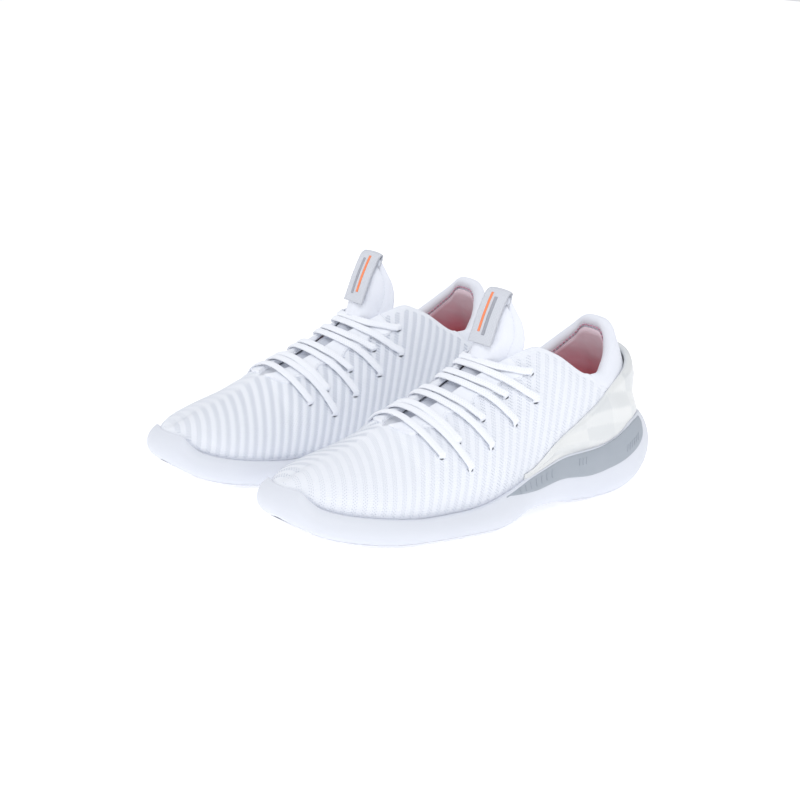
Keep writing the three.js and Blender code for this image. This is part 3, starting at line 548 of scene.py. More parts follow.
grey_foam, tree, shader = material("moulded EVA foam, grey", "#A6ADB7", 0.52, ior=1.45)
place = surface_mm(tree, "Object")
tree.links.new(mixed(tree, noise(tree, place, 22), "#9FA7B0", "#AEB4BD"), shader.inputs["Base Color"])
emboss(tree, shader, noise(tree, place, 0.8, 2.0), 0.06, 0.5)

pearl_strap, tree, shader = material("pearly TPU", "#E4E5E4", 0.36, coat=0.35, ior=1.5)
place = surface_mm(tree, "Object")
# painted shade and sheen: one fixed share per facet of the strap, added to the plastic's own random clouding
facet = add(tree, "ShaderNodeAttribute", attribute_name="facet").outputs["Fac"]
clouding = calc(tree, "MULTIPLY", noise(tree, place, 30), 0.3)
clouding_and_facet_shade = calc(tree, "ADD", clouding, calc(tree, "MULTIPLY", facet, 0.7))
tree.links.new(mixed(tree, clouding_and_facet_shade, "#D5D8DA", "#E9EAE9"), shader.inputs["Base Color"])
emboss(tree, shader, noise(tree, place, 0.6, 2.0), 0.03, 0.4)

synthetic_leather, tree, shader = material("coated synthetic leather", "#F1F4FB", 0.36, coat=0.15)
place = surface_mm(tree, "Object")
grain = add(tree, "ShaderNodeTexVoronoi", {"Vector": place, "Scale": 1.1},
            feature="SMOOTH_F1").outputs["Distance"]
tree.links.new(mixed(tree, noise(tree, place, 18), "#EDF0F8", "#F6F8FD"), shader.inputs["Base Color"])
emboss(tree, shader, grain, 0.06, 0.35)

orange_print, tree, shader = material("orange print", "#FF8A55", 0.5)
place = surface_mm(tree, "Object")
tree.links.new(mixed(tree, noise(tree, place, 1.2), "#FB7B45", "#FF9A68"), shader.inputs["Base Color"])
grey_print, tree, shader = material("grey print", "#9FA1AB", 0.5)
place = surface_mm(tree, "Object")
tree.links.new(mixed(tree, noise(tree, place, 1.2), "#92949F", "#B0B2BB"), shader.inputs["Base Color"])

hole_shadow, tree, shader = material("shadow in a lace hole", "#50535D", 0.95)
place = surface_mm(tree, "Object")
tree.links.new(mixed(tree, noise(tree, place, 1.0), "#40434C", "#62656F"), shader.inputs["Base Color"])

board, tree, shader = material("stiffened non-woven board", "#D8D2C4", 0.9)
place = surface_mm(tree, "Object")
tree.links.new(mixed(tree, noise(tree, place, 2.5), "#CBC4B4", "#E2DDD1"), shader.inputs["Base Color"])
emboss(tree, shader, noise(tree, place, 0.8), 0.2, 0.6)

print(len(bpy.data.materials), "materials")

# %% [markdown]
# ## Fitting a piece to both shoes
# Each piece is made in the left shoe's own millimetres. To fit it, its mesh is copied, moved to where the
# shoe stands in the frame and given its material. Unless a bend is given it is put on its body, and the CAD
# nodes that it stands for are hidden. The right shoe is the mirror image, which turns the faces inside out,
# so its faces are flipped back.

# %% Placement on the left and right shoe
TOE_OUT = math.radians(1.1)
stand = Matrix.Translation((68.5, -0.1013, 0)) @ Matrix.Rotation(TOE_OUT, 4, "Z")   # half the spacing aside
left_place = Matrix.Scale(0.001, 4) @ stand
PLACE = {"left": left_place, "right": Matrix.Scale(-1, 4, (1, 0, 0)) @ left_place}


def fit_pair(name, mesh, finish, body="shoe", nodes=(), bend=None):
    """Copies a piece onto both shoes. With bend given, the piece is baked in place and not attached to a body;
    the bend's points are not used.
    """
    for shoe in PLACE:
        own = mesh.copy()
        own.name = f"{shoe}_{name}"
        own.transform(PLACE[shoe])
        if shoe == "right":
            own.flip_normals()
        own.materials.clear()
        for made in finish if isinstance(finish, (list, tuple)) else [finish]:
            own.materials.append(made)
        piece = bpy.data.objects.new(f"{shoe}_{name}", own)
        bpy.context.scene.collection.objects.link(piece)
        if bend:
            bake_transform(piece)
        else:
            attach(piece, f"{shoe}_{body}")
        if nodes:
            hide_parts(*(f"{shoe}_{node}" for node in nodes))
    print(name, len(mesh.polygons), "faces on each shoe")


# %% [markdown]
# ## Geometry Nodes: ribs, rows of stitches and scattered marks
# Three small node trees make everything that repeats. The first lifts the ribs of the knit along the
# surface's own normal. The second turns a line into a row of stitches. The third sets a small shape on
# every point of a list: holes between the ribs, or ridges on the insert. Each ends in Realize Instances
# and Set Material, and its result is kept as a plain mesh.

# %% Running a tree on a mesh
def new_tree(name, **numbers):
    tree = bpy.data.node_groups.new(name, "GeometryNodeTree")
    tree.interface.new_socket("Geometry", in_out="INPUT", socket_type="NodeSocketGeometry")
    for label, value in numbers.items():
        socket = tree.interface.new_socket(label, in_out="INPUT", socket_type="NodeSocketFloat")
        socket.default_value = value
    tree.interface.new_socket("Finish", in_out="INPUT", socket_type="NodeSocketMaterial")
    tree.interface.new_socket("Geometry", in_out="OUTPUT", socket_type="NodeSocketGeometry")
    return tree, tree.nodes.new("NodeGroupInput").outputs


def close_tree(tree, geometry, given):
    real = add(tree, "GeometryNodeRealizeInstances", {0: geometry}).outputs[0]
    dressed = add(tree, "GeometryNodeSetMaterial", {0: real, "Material": given["Finish"]}).outputs[0]
    add(tree, "NodeGroupOutput", {0: dressed})


def named(tree, name, kind="FLOAT"):
    node = add(tree, "GeometryNodeInputNamedAttribute", {"Name": name}, data_type=kind)
    return node.outputs["Attribute"]


def grow(mesh, tree, finish, **numbers):
    """Runs a tree on a mesh and returns the result as a plain mesh."""
    carrier = bpy.data.objects.new("carrier", mesh)
    bpy.context.scene.collection.objects.link(carrier)
    modifier = carrier.modifiers.new(tree.name, "NODES")
    modifier.node_group = tree
    for item in tree.interface.items_tree:
        if item.in_out == "INPUT" and item.name in numbers:
            modifier[item.identifier] = numbers[item.name]
        if item.in_out == "INPUT" and item.name == "Finish":
            modifier[item.identifier] = finish
    graph = bpy.context.evaluated_depsgraph_get()
    made = bpy.data.meshes.new_from_object(carrier.evaluated_get(graph), preserve_all_data_layers=True,
                                           depsgraph=graph)
    bpy.data.objects.remove(carrier)
    return made


def with_attributes(mesh, **values):
    """Stores a number or a vector per point."""
    for name, value in values.items():
        value = np.asarray(value, float)
        kind, key = ("FLOAT", "value") if value.ndim == 1 else ("FLOAT_VECTOR", "vector")
        mesh.attributes.new(name, kind, "POINT").data.foreach_set(key, value.ravel())
    return mesh


# %% Tree 1: ribs of the knit
rib_tree, given = new_tree("Knit ribs", Height=0.5)
turns = calc(rib_tree, "MULTIPLY", named(rib_tree, "rib"), 2 * math.pi)
crest = add(rib_tree, "ShaderNodeMapRange", {"Value": calc(rib_tree, "SINE", turns), "From Min": -0.35,
            "From Max": 0.75}, interpolation_type="SMOOTHSTEP").outputs[0]
full_rise = calc(rib_tree, "MULTIPLY", crest, given["Height"])
rise = calc(rib_tree, "MULTIPLY", full_rise, named(rib_tree, "free"))
lift = add(rib_tree, "ShaderNodeVectorMath", {0: add(rib_tree, "GeometryNodeInputNormal").outputs[0],
           "Scale": rise}, operation="SCALE").outputs["Vector"]
lifted = add(rib_tree, "GeometryNodeSetPosition", {0: given["Geometry"], "Offset": lift}).outputs[0]
close_tree(rib_tree, lifted, given)

# %% Tree 2: a row of stitches along each line
stitch_tree, given = new_tree("Stitch row", Pitch=2.6, Length=1.9, Width=0.55)
line = add(stitch_tree, "GeometryNodeMeshToCurve", {0: given["Geometry"]}).outputs[0]
even_line = add(stitch_tree, "GeometryNodeResampleCurve", {"Curve": line, "Length": given["Pitch"]},
                mode="LENGTH")
bead = add(stitch_tree, "GeometryNodeMeshIcoSphere", {"Radius": 0.5, "Subdivisions": 2}).outputs[0]
smooth_bead = add(stitch_tree, "GeometryNodeSetShadeSmooth", {0: bead}).outputs[0]
tangent = add(stitch_tree, "GeometryNodeInputTangent").outputs[0]
facing_out = named(stitch_tree, "facing", "FLOAT_VECTOR")
turned = add(stitch_tree, "FunctionNodeAxesToRotation", {0: tangent, 1: facing_out},
             primary_axis="X", secondary_axis="Z").outputs[0]
size = add(stitch_tree, "ShaderNodeCombineXYZ",
           {0: given["Length"], 1: given["Width"], 2: given["Width"]}).outputs[0]
row = add(stitch_tree, "GeometryNodeInstanceOnPoints",
          {"Points": even_line.outputs[0], "Instance": smooth_bead,
           "Rotation": turned, "Scale": size}).outputs[0]
close_tree(stitch_tree, row, given)

# %% Tree 3: a small shape on every point
mark_tree, given = new_tree("Marks on points", Across=0.8, Along=1.1, Thick=0.12)
grain_shape = add(mark_tree, "GeometryNodeMeshCylinder",
                  {"Vertices": 8, "Radius": 0.5, "Depth": 1.0}).outputs[0]
turned = add(mark_tree, "FunctionNodeAxesToRotation",
             {0: named(mark_tree, "facing", "FLOAT_VECTOR"), 1: named(mark_tree, "along", "FLOAT_VECTOR")},
             primary_axis="Z", secondary_axis="Y").outputs[0]
grain_size = add(mark_tree, "ShaderNodeCombineXYZ",
                 {0: given["Across"], 1: given["Along"], 2: given["Thick"]}).outputs[0]
scaled = add(mark_tree, "ShaderNodeVectorMath", {0: grain_size, "Scale": named(mark_tree, "size")},
             operation="SCALE").outputs["Vector"]
marks = add(mark_tree, "GeometryNodeInstanceOnPoints",
            {"Points": given["Geometry"], "Instance": grain_shape,
             "Rotation": turned, "Scale": scaled}).outputs[0]
close_tree(mark_tree, marks, given)


def line_mesh(paths):
    """Open lines with the direction that each point's surface faces: [(points, facing), ...]."""
    points = np.concatenate([p for p, _ in paths])
    facing = np.concatenate([f for _, f in paths])
    edges, start = [], 0
    for p, _ in paths:
        edges += [(start + i, start + i + 1) for i in range(len(p) - 1)]
        start += len(p)
    mesh = bpy.data.meshes.new("lines")
    mesh.from_pydata(points.tolist(), edges, [])
    return with_attributes(mesh, facing=facing)

# %% [markdown]
# ## The foam sole
# The sole is one moulding: a lip over the toe, a low wall at the ball, a notch under the arch and a big
# round heel. Its wall is the sole surface from earlier. At the rim it rolls over a small lip and goes down
# inside, along the upper, so the knit seems to grow out of it. A loop of sections closes on itself, and
# both halves meet on the centre line, where their points are merged.

# %% Foam sole
PAD = 3.0                  # mm, thickness of the rubber pads under the ball and the heel


def pad_share(s):
    """1 where a rubber pad lies under the foam, easing to 0 at its ends."""
    front = np.clip(np.minimum((s - 0.045) / 0.03, (0.497 - s) / 0.02), 0, 1)
    back = np.clip((s - 0.622) / 0.02, 0, 1)
    share = np.maximum(front, back)
    return share * share * (3 - 2 * share)


def underside_v(side, s):
    z = bottom_height(s) + PAD * pad_share(s)
    return np.where(pad_share(s) > 0, height_to_v(wall, side, s, z), 0)


def sole_sections(side, s):
    side, s = side[:, None], s[:, None]
    v0 = underside_v(side, s)
    t = np.linspace(0, 1, 26)
    outer = wall(side, s, v0 + (1 - v0) * t)
    rim = wall(side, s, 1.0)
    inside_v = height_to_v(upper, side, s, rim_height(s) - 0.4)
    meets = upper(side, s, inside_v)
    lip = [rim + (meets - rim) * share + UP * lift
           for share, lift in ((0.15, 0.35), (0.5, 0.45), (0.85, 0.1))]
    down = upper(side, s, inside_v * np.linspace(1, 0, 5))
    low_middle = (outer[:, :1] + wall(-side, s, underside_v(-side, s))) / 2
    under = [low_middle * (1 - k) + outer[:, :1] * k for k in (0, 0.5, 0.9)]
    floor_middle = (down[:, -1:] + upper(-side, s, 0 * s)) / 2
    top = [floor_middle * (1 - k) + down[:, -1:] * k for k in (0.5, 0)]
    return np.concatenate([*under, outer, *lip, down, *top], axis=1)


stations = even(0, 1, 2.2)
side, s = all_round(stations)
section = sole_sections(side, s)
foam_sole = mesh_of("foam_sole", section, strip(len(s), section.shape[1], loop=True), merge=0.03)
fit_pair("foam_sole", foam_sole, white_foam, nodes=["midsole"])

# %% [markdown]
# ## Rubber pads
# Two thin rubber pads carry the shoe, at the ball and at the heel. Small cuts along their edges let them
# bend. A pad is drawn as sections again, and every 11 mm its edge is drawn in by half a millimetre.

# %% Rubber pads
def pad_mesh(name, start, end):
    s = even(start, end, 1.1)
    rings = []
    for which in (1, -1):
        side = np.full_like(s, which)[:, None]
        station = s[:, None]
        thick = np.maximum(pad_share(station) * PAD - 0.15, 0.12)
        top = height_to_v(wall, side, station, bottom_height(station) + thick)
        cut = 0.6 * np.exp(-((length_at(station) % 11 - 5.5) / 0.8) ** 2)
        v = top * np.linspace(0, 1, 5)
        rings.append(wall(side, station, v) - outward(side, station) * cut[..., None])
    ring = np.concatenate([rings[0], rings[1][:, ::-1]], axis=1)
    return skin(name, ring)


fit_pair("forefoot_pad", pad_mesh("forefoot_pad", 0.05, 0.495), tread_rubber,
         nodes=["outsole_forefoot"])
fit_pair("heel_pad", pad_mesh("heel_pad", 0.624, 0.999), tread_rubber, nodes=["outsole_heel"])

# %% [markdown]
# ## The wavy insert
# A grey strip of foam sits in the sole wall from the arch to the heel. It has a rounded edge and stands
# half a millimetre proud. Slanted ridges near its front and its back are moulded on: the third node tree
# sets one on each point of a short list, turned along the wall.

# %% Grey insert and its ridges
WAVE_FRONT, WAVE_BACK = 0.488, 0.832
wave_bottom = profile([(WAVE_FRONT, 19.6), (0.54, 18.8), (0.6, 21.5), (0.66, 19.5), (0.72, 22.5), (0.78, 29.5),
                       (0.815, 36.5), (WAVE_BACK, 44)])


def wave_band(side, s):
    low = np.minimum(height_to_v(wall, side, s, wave_bottom(s)), 0.95)
    return low, 0.998 + 0 * low


def wave_mesh(side):
    s = even(WAVE_FRONT, WAVE_BACK, 0.9)[:, None]
    low, high = wave_band(side, s)
    t = np.linspace(0, 1, 22)
    v = low + (high - low) * t
    height = (high - low) * (rim_height(s) - bottom_height(s))
    ends = np.minimum(length_at(s) - length_at(WAVE_FRONT), length_at(WAVE_BACK) - length_at(s))
    edge = np.minimum(np.minimum(t, 1 - t) * height, ends)
    rounded = np.sqrt(1 - (1 - np.clip(edge / 1.2, 0, 1)) ** 2)
    outer = offset(wall, side, s, v, -0.7 + 1.4 * rounded)
    inner = offset(wall, side, s, v[:, ::-1], -2.0 + 0 * v)
    return skin(f"wave_{side}", np.concatenate([outer, inner], axis=1))


def marks_on(surface, side, s, v, depth, size, lean=0.0):
    """Points on a surface, each with the way it faces and a direction along the section."""
    facing = normal_of(surface, side, s, v)
    rising = unit(surface(side, s, np.minimum(v + 0.01, 1)) - surface(side, s, v - 0.01))
    across = np.cross(rising, facing)
    along = rising * math.cos(lean) + across * math.sin(lean) * np.asarray(side)[..., None]
    mesh = bpy.data.meshes.new("points")
    mesh.from_pydata(offset(surface, side, s, v, depth).tolist(), [], [])
    return with_attributes(mesh, facing=facing, along=along, size=np.broadcast_to(size, s.shape))


for side, word in ((1, "outer"), (-1, "inner")):
    strip_mesh = wave_mesh(side)
    ridge_s = np.concatenate([np.linspace(0.515, 0.578, 7), np.linspace(0.635, 0.65, 3),
                              np.linspace(0.752, 0.792, 6)])
    low, high = wave_band(side, ridge_s)
    share = np.where(ridge_s < 0.6, 0.55, np.where(ridge_s < 0.7, 0.62, 0.35))
    points = marks_on(wall, np.full_like(ridge_s, side), ridge_s, low + (high - low) * share, 0.72,
                      np.where(ridge_s < 0.6, np.linspace(0.75, 1.25, 16), 0.85), lean=0.35)
    ridges = grow(points, mark_tree, grey_foam, Across=0.9, Along=5.5, Thick=0.7)
    fit_pair(f"wavy_insert_{word}", strip_mesh, grey_foam,
             nodes=["wave_insert_lateral" if side > 0 else "wave_insert_medial"])
    fit_pair(f"insert_ridges_{word}", ridges, grey_foam)

# %% [markdown]
# ## The knit upper
# The upper is a knitted sock with raised ribs every 6 mm, and finer holes between them. It is a skin 1.8 mm
# thick over the last. Two numbers are stored on its points: which rib a point belongs to, and how freely
# the rib may rise there. The first node tree then lifts the ribs as real relief.

# %% Ribbed knit
RIB_PITCH = 6.2            # mm between ribs, along the shoe
RIB_LEAN = 0.2            # how far a rib goes back for each millimetre that it climbs
RIB_SWEEP = 0.3            # and how far it goes forwards for each millimetre out from the middle


def rib_phase(place):
    """The same along a whole rib."""
    aside = np.sqrt(place[..., 0] ** 2 + 36)
    return place[..., 1] + RIB_SWEEP * aside - RIB_LEAN * place[..., 2]


throat_length = float(length_at(THROAT))
front_part = station_at(np.linspace(0, throat_length, int(throat_length / 0.8)))
rear_part = even(THROAT, 1, 0.8)
stations = np.concatenate([front_part, rear_part[1:]])
side, s = all_round(stations)
side, s = side[:, None], s[:, None]
open_here = (s > THROAT + 1e-6).astype(float)
top = knit_top(side, s)
t = np.concatenate([np.linspace(0, 0.9, 34), [0.925, 0.95, 0.965, 0.98, 0.99, 1.0]])
v = top * t
outer = upper(side, s, v)
edge_normal = normal_of(upper, side, s, top)
edge = upper(side, s, top)
rising = unit(upper(side, s, top) - upper(side, s, top - 0.01))
roll = [edge + rising * (open_here * 0.9 * math.sin(a))[..., None]
        - edge_normal * (KNIT / 2 * (1 - math.cos(a))) for a in (math.pi / 4, math.pi / 2, 3 * math.pi / 4)]
inner_t = np.linspace(1, 0, 8)
inner = offset(upper, side, s, top * inner_t, np.full(inner_t.shape, -KNIT))
section = np.concatenate([outer, *roll, inner], axis=1)
rows, count = section.shape[:2]
quads = []
last_outer, first_inner = len(t) - 1, len(t) + len(roll)
for i in range(rows):
    k = (i + 1) % rows
    for j in range(count - 1):
        if last_outer <= j < first_inner and not (open_here[i, 0] or open_here[k, 0]):
            continue
        quads.append((i * count + j, k * count + j, k * count + j + 1, i * count + j + 1))
    quads.append((i * count + count - 1, k * count + count - 1, k * count, i * count))
height_mm = distance_along(section)
girth_mm = np.broadcast_to(length_at(s) * side + np.where(side < 0, 2 * GIRTH, 0), height_mm.shape)
knit = mesh_of("ribbed_knit", section, quads, uv=np.stack([girth_mm, height_mm], -1), merge=0)


def smooth(x, start, end):
    t = np.clip((x - start) / (end - start), 0, 1)
    return t * t * (3 - 2 * t)


def rib_freedom(side, s, v, top):
    """Ribs are strong on the flanks, soft over the toe, and flat at edges and beside the throat."""
    below_edge = (1 - v / top) * 60
    flank = 0.1 + 0.8 * smooth(s, 0.28, 0.45) * (side < 0) + 0.15 * smooth(s, 0.3, 0.5) * (side > 0)
    quarter = 1 - 0.35 * smooth(s, 0.5, 0.65) * (side > 0)
    beside_throat = smooth(below_edge, 8, 20) * (s > THROAT) + (s <= THROAT)
    near_edge = smooth(v * 60, 2, 6) * np.where(s > THROAT, smooth(below_edge, 1.5, 5), 1)
    return flank * quarter * near_edge * (0.25 + 0.75 * beside_throat)


freedom = np.zeros((rows, count))
freedom[:, :len(t)] = rib_freedom(side, s, v, top)
rib = rib_phase(section) / RIB_PITCH
with_attributes(knit, rib=rib.ravel(), free=freedom.ravel())
work = bmesh.new()
work.from_mesh(knit)
bmesh.ops.remove_doubles(work, verts=work.verts, dist=0.01)
bmesh.ops.recalc_face_normals(work, faces=work.faces)
if work.calc_volume(signed=True) < 0:
    bmesh.ops.reverse_faces(work, faces=work.faces)
work.to_mesh(knit)
work.free()
fit_pair("ribbed_knit", grow(knit, rib_tree, ribbed_knit, Height=0.28), ribbed_knit,
         nodes=["knit_upper"])

# %% [markdown]
# ## Holes between the ribs
# Between two ribs the knit opens into three staggered columns of tiny holes, about 2 mm apart. One list of
# points follows the same rib count as the relief, so the holes stay in the valleys. They are drawn
# up to 1 mm wide, a little coarser than life, so that they show from a step away. Each hole is a flat grey
# disc of painted shade on the knit, not an opening, and the discs are larger on the inner side, where
# the shade is deeper.

# %% Perforations
def stations_of_column(which, phase):
    """Stations and heights along one column, which keeps one rib phase."""
    v = np.linspace(0.0, 1.0, 90)
    low, high = np.zeros_like(v), np.ones_like(v)
    for _ in range(22):
        middle = (low + high) / 2
        place = upper(which, middle, v)
        before = rib_phase(place) < phase
        low, high = np.where(before, middle, low), np.where(before, high, middle)
    return (low + high) / 2, v


hole_side, hole_s, hole_v, hole_size = [], [], [], []
for which in (1, -1):
    for number in range(-28, 20):
        for column, stagger in ((-0.17, 0.0), (0.0, 0.5), (0.17, 0.0)):
            station, v = stations_of_column(which, (number + 0.75 + column) * RIB_PITCH)
            rail = upper(which, station, v)
            run = distance_along(rail)
            at = np.arange(2.0 + stagger * 1.9, run[-1], 1.9)
            s_at, v_at = np.interp(at, run, station), np.interp(at, run, v)
            z_at = np.interp(at, run, rail[:, 2])
            top_at = knit_top(which, s_at)
            clear = (s_at > 0.02) & (s_at < 0.975) & (z_at > rim_height(s_at) + 1)
            clear &= v_at < np.where(s_at <= THROAT, 0.995, top_at - 0.05)
            hole_v += list(v_at[clear])
            hole_s += list(s_at[clear])
            hole_side += [which] * int(clear.sum())
            # painted shade: the discs are larger on the inner side, which lies in deeper shade, so more grey
            # shows there
            soft = 0.75 if which > 0 else 1.15
            hole_size += list(soft * (0.8 + 0.2 * smooth(s_at[clear], 0.15, 0.4)))
hole_side, hole_s, hole_v = (np.array(x, float) for x in (hole_side, hole_s, hole_v))
print(len(hole_s), "holes in one shoe")
points = marks_on(upper, hole_side, hole_s, hole_v, 0.03, np.array(hole_size))
holes = grow(points, mark_tree, knit_hole_shade, Across=0.85, Along=0.85, Thick=0.14)
fit_pair("knit_hole_shade_discs", holes, knit_hole_shade)

# %% [markdown]
# ## Strips beside the throat
# A smooth synthetic strip stiffens each edge of the throat. Its outer edge is scalloped, with one lobe
# between each pair of lace holes, and its front end is rounded. A row of stitches holds it down.

# %% Throat strips
STRIP_FRONT, STRIP_BACK = 0.366, 0.572


def strip_width(s):
    front = np.sqrt(np.clip(1 - (1 - np.clip((s - STRIP_FRONT) / 0.03, 0, 1)) ** 2, 0, 1))
    lobes = 1 - 0.16 * np.cos((s - 0.402) / 0.0455 * 2 * math.pi)
    return 1.0 + 13.5 * front * lobes


def strip_mesh_on(side):
    s = even(STRIP_FRONT, STRIP_BACK, 0.9)[:, None]
    width = strip_width(s)
    t = np.linspace(0, 1, 20)
    v = below_top(side, s, width * (1 - t))
    ends = np.minimum(length_at(s) - length_at(STRIP_FRONT), length_at(STRIP_BACK) - length_at(s))
    edge = np.minimum(np.minimum(t, 1 - t) * width, ends)
    rounded = np.sqrt(1 - (1 - np.clip(edge / 0.9, 0, 1)) ** 2)
    outer = offset(upper, side, s, v, 0.15 + 1.25 * rounded)
    inner = offset(upper, side, s, v[:, ::-1], -0.6 + 0 * v)
    return skin(f"throat_strip_{side}", np.concatenate([outer, inner], axis=1))


def row_on(surface, side, s, v, depth):
    return offset(surface, side, s, v, depth), normal_of(surface, side, s, v)


for side, word in ((1, "outer"), (-1, "inner")):
    fit_pair(f"throat_strip_{word}", strip_mesh_on(side), synthetic_leather,
             nodes=["eyestay_lateral" if side > 0 else "eyestay_medial"])
    s = even(STRIP_FRONT + 0.006, STRIP_BACK, 0.8)
    row = row_on(upper, side, s, below_top(side, s, strip_width(s) - 1.6), 1.45)
    fit_pair(f"throat_stitches_{word}", grow(line_mesh([row]), stitch_tree, sewing_thread, Pitch=2.4,
             Length=1.7, Width=0.45), sewing_thread)

# %% [markdown]
# ## The tongue under the lace
# Under the lace lies the thin part of the tongue, in a light grey satin fabric, sunk a little below the
# strips. At its front end a small grey patch closes the throat.

# %% Tongue base and patch
throat_crown = profile([(THROAT, -0.5), (0.42, 1.5), (0.5, 3.5), (0.55, 6.5)])


def across_throat(s, depth, rise, reach, columns):
    """Points across the throat at each station, at a depth under the knit, outer side first."""
    def half(side):
        v = below_top(side, s, np.full_like(s, reach))[:, None]
        v = v + (1 - v) * np.linspace(0, 1, columns)
        return offset(upper, side, s[:, None], v, np.full(v.shape, depth))
    outer, inner = half(1), half(-1)[:, ::-1]
    a, b = outer[:, -1:], inner[:, :1]
    bridge = []
    for k in np.linspace(0, 1, 9)[1:-1]:
        bridge.append(a * (1 - k) + b * k + UP * (rise * math.sin(math.pi * k) ** 0.8)[:, None, None])
    return np.concatenate([outer, *bridge, inner], axis=1)


def across_sheet(name, s, top_depth, bottom_depth, rise, reach, columns):
    top = across_throat(s, top_depth, rise, reach, columns)
    bottom = across_throat(s, bottom_depth, rise, reach, columns)[:, ::-1]
    section = np.concatenate([top, bottom], axis=1)
    x = distance_along(section)
    y = np.broadcast_to(length_at(s)[:, None], x.shape)
    return skin(name, section, uv=np.stack([x, y], -1))


s = np.linspace(THROAT + 0.012, 0.552, 50)
base_depth = -(KNIT + 1.3 * FIT)
fit_pair("tongue_base_cloth", across_sheet("tongue_base_cloth", s, base_depth, base_depth - 3.2,
         throat_crown(s), 14, 6), grey_tongue, nodes=["tongue_base"])
s = np.linspace(THROAT + 0.002, THROAT + 0.045, 22)
patch_depth = -(KNIT * 0.55)
patch = across_sheet("throat_patch", s, patch_depth, patch_depth - 0.9, 0.6 + 0 * s, 5, 5)
fit_pair("throat_patch", patch, grey_webbing, nodes=["throat_gusset"])

# %% [markdown]
# ## The padded tongue
# The top of the tongue is a soft pad, thick in the middle and pressed flat by a seam about 7 mm from its
# edge. Its section is a pillow: the thickness follows the distance to the edge, with a narrow channel
# at the seam. The pad fades into the shoe just under the lacing.

# %% Tongue pad
HINGE = np.array([0, 9, 98.5])
TIP = np.array([0, 22, 133.0])
flap_half = profile([(-0.2, 16), (0, 17), (0.35, 19), (0.6, 17.5), (0.8, 13.5), (0.93, 10.5), (1, 8.5)])
flap_wrap = profile([(0, 22), (0.35, 19), (0.6, 14), (0.8, 8), (1, 3)])
flap_drop = profile([(0, 9), (0.35, 7), (0.7, 4), (1, 2)])


def flap_front(a, b):
    turn = np.pi / 2 * a * 0.9
    bend = 1 - np.cos(turn)
    centre = HINGE + (TIP - HINGE) * b[..., None]
    return np.stack([flap_half(b) * np.sin(turn) / math.sin(math.pi / 2 * 0.9),
                     centre[..., 1] + flap_wrap(b) * bend, centre[..., 2] - flap_drop(b) * bend], -1)


def flap_point(a, b, depth):
    a, b, depth = np.broadcast_arrays(*(np.asarray(x, float) for x in (a, b, depth)))
    across = flap_front(a + 1e-3, b) - flap_front(a - 1e-3, b)
    rising = flap_front(a, b + 1e-3) - flap_front(a, b - 1e-3)
    return flap_front(a, b) + unit(np.cross(across, rising)) * depth[..., None]


def flap_start(a):
    return -0.16 - 0.1 * a * a


def flap_edge(a, t):
    """Distance in millimetres from the free edge of the pad, its foot aside."""
    b = flap_start(a) + (1 - flap_start(a)) * t
    return np.minimum((1 - np.abs(a)) * flap_half(b) * 1.25, (1 - b) * 37), b


def flap_depths(a, t):
    edge, b = flap_edge(a, t)
    rounded = np.sqrt(1 - (1 - np.clip(edge / 1.6, 0, 1)) ** 2)
    crown = smooth(edge, 6.5, 14)
    channel = np.exp(-((edge - 6.8) / 0.8) ** 2)
    thick = rounded * (3.0 + 3.4 * crown - 1.0 * channel)
    return b, 0.45 * thick - 1.5 + 0.2, -0.55 * thick - 1.5


a = np.sin(np.linspace(-math.pi / 2, math.pi / 2, 71))[None, :]
t = np.concatenate([np.linspace(0, 0.94, 52), 1 - 0.06 * (1 - np.linspace(0, 1, 12)[1:]) ** 2])[:, None]
b, front_depth, back_depth = flap_depths(a, t)
front = flap_point(a, b, front_depth)
back = flap_point(a, b, back_depth)
section = np.concatenate([front, back[:, ::-1]], axis=1)
bend_line = [(0, 6.0, 94.5), (0, 13.0, 106.0)]
tongue_pad = skin("tongue_pad", section)
fit_pair("tongue_pad", tongue_pad, smooth_textile, nodes=["tongue_flap"],
         bend=bend_line)

# the seam that presses the pad flat, as a row of stitches in its channel
angle = np.linspace(0.02, 0.98, 200)
seam_a, seam_t = [], []
for share in angle:
    if share < 0.4:
        t_here = 0.1 + share / 0.4 * 0.72
        low, high = 0.0, 1.0
    elif share > 0.6:
        t_here = 0.1 + (1 - share) / 0.4 * 0.72
        low, high = -1.0, 0.0
    else:
        seam_a.append(0.5 - (share - 0.4) / 0.2)
        seam_t.append(None)
        continue
    grid = np.linspace(low, high, 200)
    edge, _ = flap_edge(grid, np.full_like(grid, t_here))
    inside = np.abs(edge - 6.8)
    seam_a.append(float(grid[np.argmin(inside)]))
    seam_t.append(t_here)
for i, t_here in enumerate(seam_t):
    if t_here is None:
        tries = np.linspace(0.7, 1, 300)
        edge, _ = flap_edge(np.full_like(tries, seam_a[i]), tries)
        seam_t[i] = float(tries[np.argmin(np.abs(edge - 6.8) + (tries < 0.75))])
seam_a, seam_t = np.array(seam_a), np.array(seam_t)
b, front_depth, _ = flap_depths(seam_a, seam_t)
line = flap_point(seam_a, b, front_depth + 0.12)
facing = unit(flap_point(seam_a, b, front_depth + 1) - flap_point(seam_a, b, front_depth))
fit_pair("tongue_stitches", grow(line_mesh([(line, facing)]), stitch_tree, sewing_thread, Pitch=2.3,
         Length=1.7, Width=0.42), sewing_thread, bend=bend_line)

# %% [markdown]
# ## The tab on the tongue
# A length of grey woven tape runs up the front of the tongue, folds over its tip and is caught again
# behind. Two plain printed bars, orange and grey, decorate it. The tape is swept along one path that goes up
# the front, round the tip and down the back, so it is a single folded strip.

# %% Woven tab and printed bars
TAB_WIDTH, TAB_THICK = 22.0, 1.2


